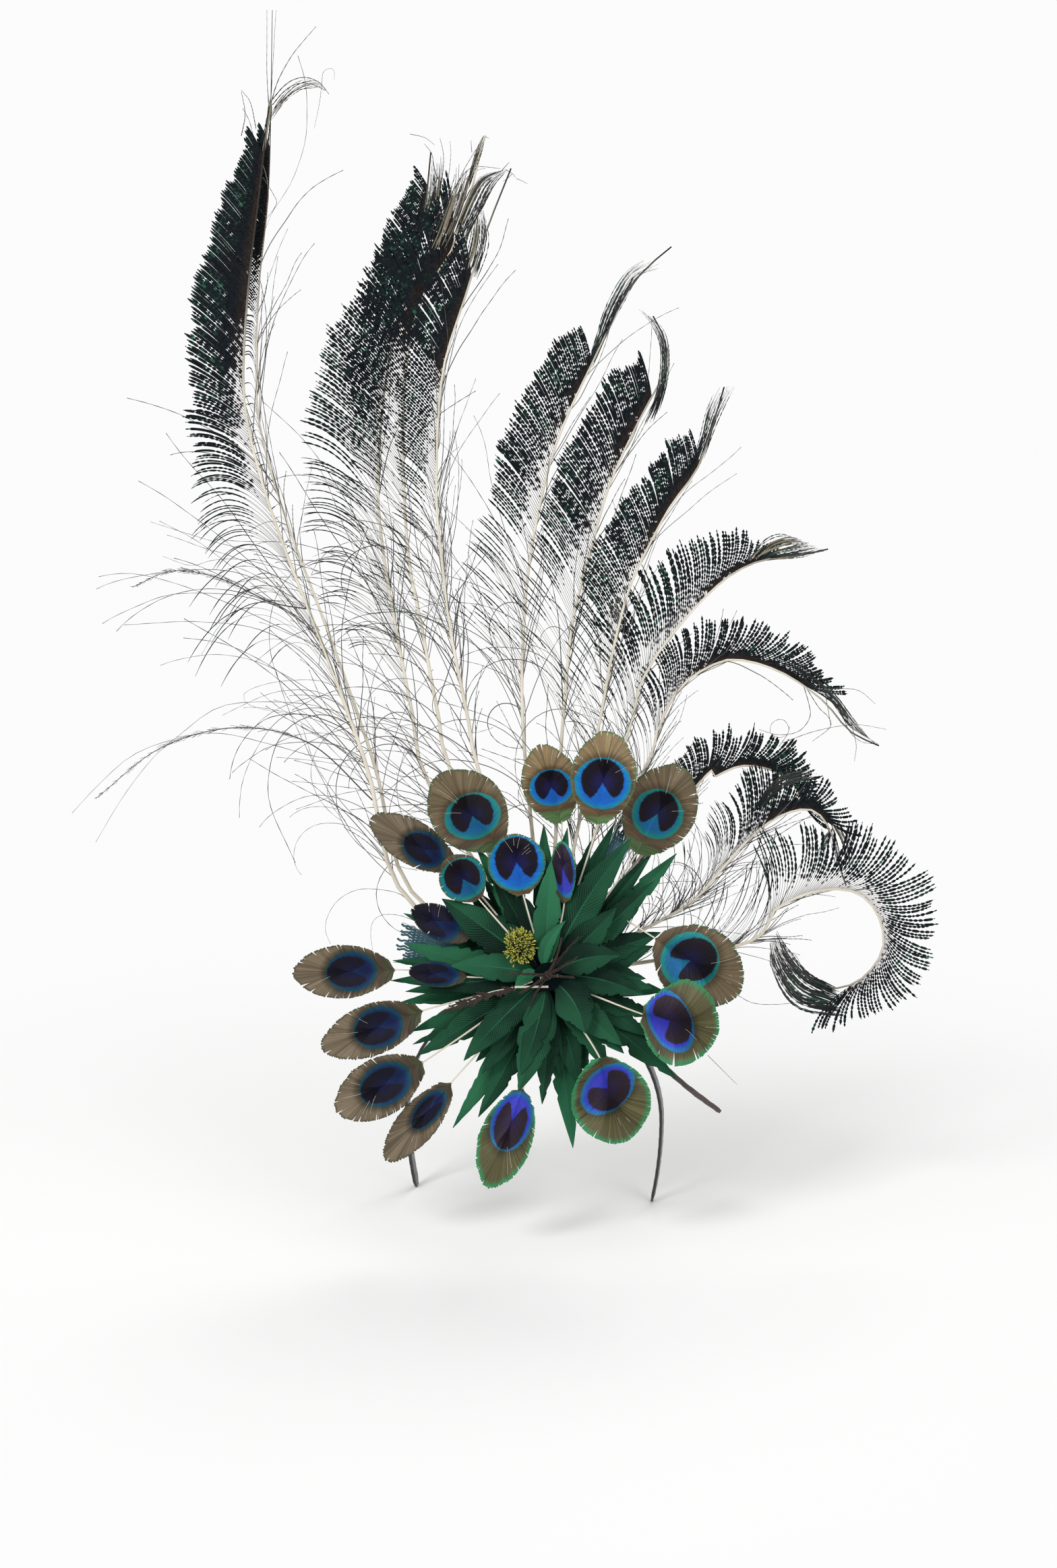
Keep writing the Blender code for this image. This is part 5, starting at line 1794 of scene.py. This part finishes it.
@dataclass(frozen=True)
class StemKnot(Grown):
    """The knot of dark twisted stems over the flower's heart, with two cut ivory quill ends.

    A stem has a bearing, a rise and a length; a quill end its two ends and the layer of its front.
    """

    SEED = 700
    number = 0
    STEMS = ((50, 12, 24), (68, 24, 22), (28, 20, 17), (-8, 14, 14), (-118, 14, 20), (-142, 22, 18),
             (178, 8, 22))
    QUILL_ENDS = (((-4.0, -0.5), (6.0, 0.8), 15.4), ((-18.0, -5.5), (0.5, -5.3), 14.2))

    radius: float = 3.0
    front_layer: float = 10.4
    twist: float = 2.6
    loops: int = 10
    strands: int = 3

    @property
    def facing(self) -> Array:
        """The way the flower's heart faces."""
        return SPRAY.front(np.array((0.0, 0.0, self.front_layer)))

    @property
    def centre(self) -> Array:
        """The knot's middle, in metres, on the front of the last ring's collar."""
        rim = np.array([(u, 0, self.front_layer) for u in (SPRAY.collar_radius, -SPRAY.collar_radius)])
        return SPRAY.place(rim).mean(axis=0) + self.facing * (self.radius + 0.3) * MM

    def braid(self, start: Array, way: Array, length: float) -> list[Array]:
        """Lines of a few dark strands that twist round each other.

        Args:
            start: where they start, in metres.
            way: their direction.
            length: their length in millimetres.

        Returns:
            Their lines.
        """
        t, rng = BARB.shares[:, None], self.rng
        side = unit(np.cross(way, self.facing))
        over = np.cross(side, way)
        bent, off = rng.uniform(-2.5, 2.5), 0.55 * (1 - 0.4 * t)
        lines = []
        for index in range(self.strands):
            angle = t * math.tau * self.twist * length / 22 + index * math.tau / self.strands
            lines.append(start + MM * (way * t * length * rng.uniform(0.86, 1.03)
                                       + side * (np.cos(angle) * off + bent * np.sin(t * math.pi) * 0.5)
                                       + over * np.sin(angle) * off))
        return lines

    def build(self) -> None:
        """Builds the knot and ties it to its node."""
        rng, centre, face, t = self.rng, self.centre, self.facing, BARB.shares
        side = unit(np.cross(SPRAY.upward, face))
        up = np.cross(face, side)
        lines = []
        for bearing, rise, length in self.STEMS:
            (x, y), (level, high) = towards(math.radians(bearing)), towards(math.radians(rise))
            way = (side * x + up * y) * level + face * high
            lines += self.braid(centre + way * self.radius * 0.3 * MM, way, length + 2.0)
        for _ in range(self.loops):
            tilt = unit(rng.normal(size=3))
            ring = unit(np.cross(tilt, face))
            angle = (t * math.tau * 0.9)[:, None] + rng.uniform(0, 6)
            size = self.radius * rng.uniform(0.55, 0.95) * MM
            lines.append(centre + size * (ring * np.cos(angle) + np.cross(tilt, ring) * np.sin(angle)))
        count = len(lines)
        tooth = np.where(np.arange(len(t)) % 2 == 0, 1.0, 0.45)
        half = 0.62 * tooth * (1 - 0.4 * t) * rng.uniform(0.8, 1.15, (count, 1))
        tone = rng.random((count, 1))
        roll = rng.normal(size=(count, 1))
        herls = BARB.bend(np.stack(lines), face, half, 0.3, along=t, tone=tone, roll=roll)
        stubs = [SPRAY.place(with_layer(np.array(start) + np.subtract(end, start) * QUILL.shares[:, None],
                                        layer - 2.0)) for start, end, layer in self.QUILL_ENDS]
        quills = QUILL.bend(np.stack(stubs), face, 0.62, 0.5, along=0.1)
        settle("stem_knot_strands", "dark_stem", "stem_knot", (herls, DARK_STEM), (quills, IVORY_QUILL))


@dataclass(frozen=True)
class QuillSplinter:
    """The split dark quill that lies across the lower left leaves."""

    points: Spots = ((-18, -6), (-32, -9), (-44, -14), (-56, -18))
    layer: float = 7.6
    teeth: int = 110

    def build(self) -> None:
        """Builds the splinter and ties it to its node."""
        rng, count, t = draws(800), self.teeth, QUILL.shares[None]
        route = Route((SPRAY.seat_towards(*self.points[0]), *self.points))
        spots = with_layer(route.at(t) + leftward(route.travel(t)) * -0.35, self.layer)
        ivory = QUILL.lay(spots, 0.55 - 0.25 * t, 0.4, along=t * 0.7)
        at = np.sort(rng.uniform(0.18, 1.0, count))
        length = (1.6 + 1.6 * np.sin(math.pi * at)) * rng.uniform(0.6, 1.15, count)
        side = np.where(rng.random(count) < 0.75, 1.0, -1.0)
        heading = bearing_of(route.travel(at)) + side * rng.uniform(0.25, 0.6, count)
        turning = np.repeat((side * 0.03)[:, None], STUB.rows, axis=1)
        line = wander(route.at(at), heading, turning, length * 1.6)
        spots = SPRAY.lift(with_layer(line, self.layer), 0.35 + 0.25 * rng.random((count, 1)))
        teeth = STUB.lay(spots, 0.42, 0.2, along=0.5, tone=rng.random((count, 1)))
        settle("quill_splinter_split", "dark_stem", "quill_splinter", (ivory, IVORY_QUILL),
               (teeth, DARK_STEM))


@dataclass(frozen=True)
class Headband:
    """The band over the head, wrapped in satin ribbon from end to end."""

    radius: float = 73.0
    thickness: float = 2.0
    width: float = 9.0
    leg: float = 48.0
    closing: float = 5.0
    turns: float = 52.0

    def build(self) -> None:
        """Builds the band and ties it to its node."""
        middle = self.radius + self.thickness / 2
        arch = math.pi * middle / 2
        reach = np.linspace(-arch - self.leg, arch + self.leg, BAND.rows + 1)
        turn = np.clip(reach / middle, -math.pi / 2, math.pi / 2)
        down = np.clip((np.abs(reach) - arch) / self.leg, 0.0, 1.0)
        wide = middle * np.sin(turn) - np.sign(reach) * self.closing * down**2
        high = middle * np.cos(turn) - self.radius - self.leg * down
        line = np.stack((wide, np.zeros(len(reach)), high), axis=-1)[None] * MM
        inward = unit(np.cross(np.array((0.0, 1.0, 0.0)), np.gradient(line, axis=1)))
        taper = 0.7 + 0.3 * smooth(0.0, 5.0, BAND.rows_to_end)
        ribbon = BAND.bend(line, inward, self.width / 2 * taper - 0.1, self.thickness / 2 * taper - 0.1,
                           along=BAND.shares, tone=0.3, **BAND.winding(self.turns, 0.22))
        settle("headband_ribbon", "band_satin", "headband", (ribbon, SATIN_RIBBON))


@dataclass(frozen=True)
class FeltPad:
    """The felt pad under the spray: a dome that follows the head below, with a stitched edge."""

    centre: Triple = (8.0, -15.0, 3.0)
    radii: Triple = (28.0, 24.0, 13.0)
    hollow_radius: float = 75.6
    hollow_depth_radius: float = 95.0
    hollow_centre: float = -73.0
    stitches: int = 64

    def head(self, x: Array, y: Array) -> Array:
        """The height of the head's hollow there, in millimetres."""
        rest = 1 - (x / self.hollow_radius)**2 - (y / self.hollow_depth_radius)**2
        return self.hollow_centre + self.hollow_radius * np.sqrt(np.clip(rest, 0.0, 1.0))

    def build(self) -> None:
        """Builds the pad and ties it to its node."""
        dome, centre, radii = Dome(), np.array(self.centre), np.array(self.radii)
        points = dome.spots * radii + centre
        rim = np.exp(-((dome.spots[:, 2] + 0.12) / 0.1)**2)
        points[:, :2] += dome.spots[:, :2] * rim[:, None] * 0.35
        points[:, 2] = np.maximum(points[:, 2], self.head(points[:, 0], points[:, 1]))
        felt = dome.repeat(points[None] * MM, round_off=True, tone=0.4)
        lean = 0.1 + 0.5 * STUB.shares
        ring = towards(np.linspace(0.0, math.tau, self.stitches, endpoint=False))
        flat = np.cos(lean)[:, None] * ring[:, None] * radii[:2] + centre[:2]
        line = with_layer(flat, centre[2] + radii[2] * np.sin(lean) + 0.18) * MM
        thread = STUB.bend(line, unit(with_layer(ring, 0.6))[:, None], 0.32, 0.32, along=0.5, tone=0.8)
        settle("base_pad_felt", "pad_felt", "base_pad", (felt, WOOL_FELT), (thread, SATIN_RIBBON))


SWORDS = (
    SwordFeather(1, -14.5, -14.5, 0.5, course("-0.25 54, 0 46, 0.2 38, 0.35 30, 0.55 28, 0.66 27, 0.76 23,"
        "0.86 19, 1 11"), 2.2, course("-78 44, -99 115, -123 181, -149 248, -163 296, -167 329, -164 381,"
        "-158 433, -153 478"), solid=0.34, density=0.8, density_top=1.12, brush=0.35, parting=0.03,
        bead=0.85, hairs=54, hair_reach=150, right_share=0.25, vane_to=0.95, darkening=1.15, sweep=0.3,
        droop=0.6),
    SwordFeather(2, -18.5, -18.5, 0.66, course("0 6, 0.33 13, 0.67 12, 1 7"), 2, course("-74 46, -95 117,"
        "-118 183, -143 250, -157 298, -160 331, -158 383, -153 435, -151 531"), dark_from=0.5, solid=0.9,
        density_top=0.95, tip_width=0.35, hairs=32, right_share=0.75, bare=0.2, darkening=1.15, density=0.62,
        parting=0.1, droop=0.6),
    SwordFeather(3, -18.5, -18.5, 0.5, course("0 38, 0.3 39, 0.5 34, 0.68 28, 0.77 22, 0.88 17, 1 8"), 2,
        course("-64 104, -74 144, -84 196, -91 240, -93 277, -88 333, -78 370, -69 407, -64 453"),
        dark_from=0.72, density=0.28, hairs=60, hair_reach=140, density_top=0.9, parting=0.1, brush=0.1,
        vane_to=0.96, bead=0.95, droop=0.35, right_share=0.35),
    SwordFeather(4, -16.5, -16.5, 0.54, course("0 27, 0.4 31, 0.75 29, 1 20"), 2, course("-52 111, -60 144,"
        "-69 192, -76 229, -79 277, -78 329, -70 370, -50 405, -34 462"), dark_from=0.68, solid=0.28,
        density=0.4, darkening=0.5, density_top=0.9, brush=0.6, right_share=0.35),
    SwordFeather(5, -14.5, -14.5, 0.54, course("0 20, 0.45 23, 0.85 22, 1 15"), 2, course("-37 111, -44 144,"
        "-53 189, -58 229, -61 266, -58 329, -45 374, -33 411, -20 444"), dark_from=0.68, solid=0.28,
        density=0.38, hairs=80, right_share=0.65, vane_to=0.86, density_top=0.88, brush=0.6),
    SwordFeather(6, -18.5, -18.5, 0.5, course("0 26, 0.48 27, 0.89 23, 1 17"), 1.9, course("-13 130,"
        "-13 192, -9 233, 0 277, 10 306, 25 338, 42 373, 53 388, 68 401"), dark_from=0.8, solid=0.14,
        hairs=44, vane_to=0.81, brush=0, droop=0.05, sweep=0.35),
    SwordFeather(7, -16.5, -16.5, 0.5, course("0 30, 0.45 31, 0.9 25, 1 18"), 1.9, course("7 118, 10 159,"
        "14 196, 23 231, 34 270, 50 305, 64 332, 65 348, 58 363"), dark_from=0.75, density=0.78,
        density_top=0.84, brush=0, droop=0.05, sweep=0.4),
    SwordFeather(8, -14.5, -14.5, 0.46, course("0 24, 0.43 26, 0.88 20, 1 14"), 1.8, course("28 137, 34 170,"
        "41 200, 48 221, 66 256, 81 277, 88 294, 97 324"), solid=0.25, density=0.68, density_top=0.84,
        brush=0, droop=0.05, sweep=0.4),
    SwordFeather(9, -16.5, -16.5, 0.42, course("0 29, 0.41 32, 0.8 25, 0.92 16, 1 7"), 1.8, course("44 133,"
        "49 155, 57 172, 70 190, 86 208, 101 221, 118 229, 131 230, 154 235"), dark_from=0.72, density=0.44,
        density_top=0.58, hairs=38, hair_reach=80, parting=0.12, clump=0.15, vane_to=0.885, brush=0.6,
        lean=0.9),
    SwordFeather(10, -18.5, -18.5, 0.4, course("0 20, 0.47 21, 0.85 17, 1 10"), 1.8, course("55 118, 60 135,"
        "73 159, 92 172, 107 174, 129 167, 151 152, 166 135, 182 127"), dark_from=0.5, solid=0.18, hairs=38,
        hair_reach=80, lean=0.95, barb_step=1.5, density=0.66, density_top=0.78, vane_to=0.82, clump=0.16,
        bead=0.82, parting=0.1),
    SwordFeather(11, -20.5, -20.5, 0.34, course("0 14, 0.33 18, 0.67 18, 1 7"), 1.7, course("82 105, 92 110,"
        "107 116, 125 113, 136 105, 142 92"), dark_from=0.35, hairs=34, right_share=0.5, hair_reach=70,
        lean=0.9, barb_step=1.4, clump=0.22, bare=0.05, parting=0.06, bead=0.78, solid=0.22, vane_to=1),
    SwordFeather(12, -16.5, -16.5, 0.42, course("0 22, 0.42 26, 0.72 24, 0.9 15, 1 9"), 1.8, course("73 37,"
        "92 55, 107 72, 125 87, 144 92, 155 81, 161 59, 164 50"), dark_from=0.6, solid=0.34, density=0.62,
        hairs=60, right_share=0.5, hair_reach=80, lean=0.9, bare=0.24, barb_step=1.4, vane_to=0.82,
        clump=0.22, droop=0.2, bead=0.74, parting=0.1),
    SwordFeather(13, -14.5, -11.5, 0.36, course("0 38, 0.33 32, 0.67 26, 1 15"), 1.9, course("107 18,"
        "125 37, 147 47, 168 47, 181 35, 184 15, 171 -2, 153 -6, 140 4"), dark_from=1.1, solid=0.3,
        density=0.58, density_top=0.68, hairs=46, hair_reach=65, lean=0.75, barb_step=1.3, parting=0.04,
        clump=0.26, brush=1.1, sweep=0.2, vane_to=0.89, bead=0.8, right_share=0.35),
)

LOOSE_BARBS = (
    LooseBarb(1, 0.26, course("-130 128, -170 137, -212 126, -248 98")),
    LooseBarb(2, 0.47, course("-152 206, -180 219, -206 223, -228 214")),
)

NETS = (
    NetScrap("net_scrap_left", (-82, 19), 22, 27, 30),
    NetScrap("net_scrap_top", (46, 84), 13, 17, 32),
)


@dataclass(frozen=True)
class Studio:
    """A pale floor that fades into a white surround, soft light and the photograph's camera."""

    floor_height: float = -0.1217
    floor_radius: float = 9.0
    fade_from: float = 0.16
    fade_to: float = 0.62
    lens: float = 62.71
    sensor: float = 36.0
    aim: Triple = (0.0, -0.02, 0.12)

    @staticmethod
    def show(name: str, data: bpy.types.ID) -> Model:
        """Puts an object with that data in the scene."""
        made = bpy.data.objects.new(name, data)
        bpy.context.scene.collection.objects.link(made)
        return made

    def camera(self) -> None:
        """Makes the camera at the photograph's viewing angle."""
        data = bpy.data.cameras.new("camera")
        data.lens, data.sensor_width, data.sensor_fit = self.lens, self.sensor, "AUTO"
        data.clip_start, data.clip_end = 0.05, 60.0
        made = self.show("camera", data)
        eye = MM * (np.array(SPRAY.heart) + SPRAY.view_u * SPRAY.across + SPRAY.view_v * SPRAY.upward
                    + SPRAY.view_distance * SPRAY.toward)
        axes = np.stack((SPRAY.across, SPRAY.upward, SPRAY.toward), axis=1)
        made.matrix_world = Matrix.Translation(Vector(eye)) @ Matrix(axes.tolist()).to_4x4()
        bpy.context.scene.camera = made

    def floor(self) -> None:
        """Makes the floor, which glows like the surround far from the hat."""
        disc, mesh = bmesh.new(), bpy.data.meshes.new("floor")
        bmesh.ops.create_circle(disc, cap_ends=True, segments=96, radius=self.floor_radius)
        bmesh.ops.translate(disc, vec=Vector((0.0, 0.0, self.floor_height)), verts=disc.verts)
        disc.to_mesh(mesh)
        disc.free()
        material = bpy.data.materials.new("pale_floor")
        mesh.materials.append(material)
        paint = Paint(material)
        paint.feed(paint.out["Roughness"], 0.9)
        paint.dye((0.92, 0.92, 0.915))
        reach = paint.node("VectorMath", {"operation": "LENGTH"}, Vector=paint.place).outputs["Value"]
        glow = paint.node("Emission", Color=(0.97, 0.97, 0.97), Strength=1.0).outputs[0]
        blend = paint.node("MixShader")
        fade = paint.step(reach, self.fade_from, self.fade_to)
        for socket, source in zip(blend.inputs, (fade, paint.shader.outputs[0], glow)):
            paint.feed(socket, source)
        paint.feed(paint.tree.nodes["Material Output"].inputs["Surface"], blend.outputs[0])
        self.show("floor", mesh)

    @staticmethod
    def surround() -> None:
        """Makes the white surround, whose light on the hat is softer than it looks."""
        world = bpy.data.worlds.new("surround")
        world.use_nodes = True
        bpy.context.scene.world = world
        sketch, light = Sketch(world.node_tree), world.node_tree.nodes["Background"].inputs
        seen = sketch.node("LightPath").outputs["Is Camera Ray"]
        sketch.feed(light["Strength"], sketch.scaled(seen, 0.42, 0.55))
        sketch.feed(light["Color"], (1.0, 1.0, 1.0))

    def lamp(self, name: str, place: Triple, size: float, power: float) -> None:
        """Adds a soft square lamp that points at the flower.

        Args:
            name: the lamp's name.
            place: where it stands, in metres.
            size: its side in metres.
            power: its power in watts.
        """
        data = bpy.data.lights.new(name, "AREA")
        data.shape, data.size, data.energy = "SQUARE", size, power
        made = self.show(name, data)
        made.location = place
        made.rotation_euler = (Vector(self.aim) - Vector(place)).to_track_quat("-Z", "Y").to_euler()

    def build(self) -> None:
        """Sets up the whole studio."""
        self.camera()
        self.floor()
        self.surround()
        self.lamp("key", (-0.9, -1.5, 1.5), 0.7, 22.0)
        self.lamp("fill", (1.3, -1.3, 0.7), 1.0, 9.0)
        self.lamp("back", (0.3, 1.4, 1.4), 0.9, 12.0)
        bpy.context.scene.view_settings.view_transform = "Standard"


def main() -> None:
    """Builds the hat round its frame, and reports each piece."""
    logging.basicConfig(level=logging.INFO, format="%(name)s: %(message)s")
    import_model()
    Studio().build()
    for build_effect in (Effect.mottle, Effect.threads, Effect.iris):
        build_effect()
    for piece in (Headband(), FeltPad(), FeatherCore(), TapedStem(), *RINGS, *EYES, *SWORDS):
        piece.build()
    for barb in LOOSE_BARBS:
        barb.build(SWORDS[0])
    for number, net in enumerate(NETS):
        net.build(number)
    for piece in (StamenTuft(), StemKnot(), QuillSplinter()):
        piece.build()
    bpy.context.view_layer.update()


if __name__ == "__main__":
    main()
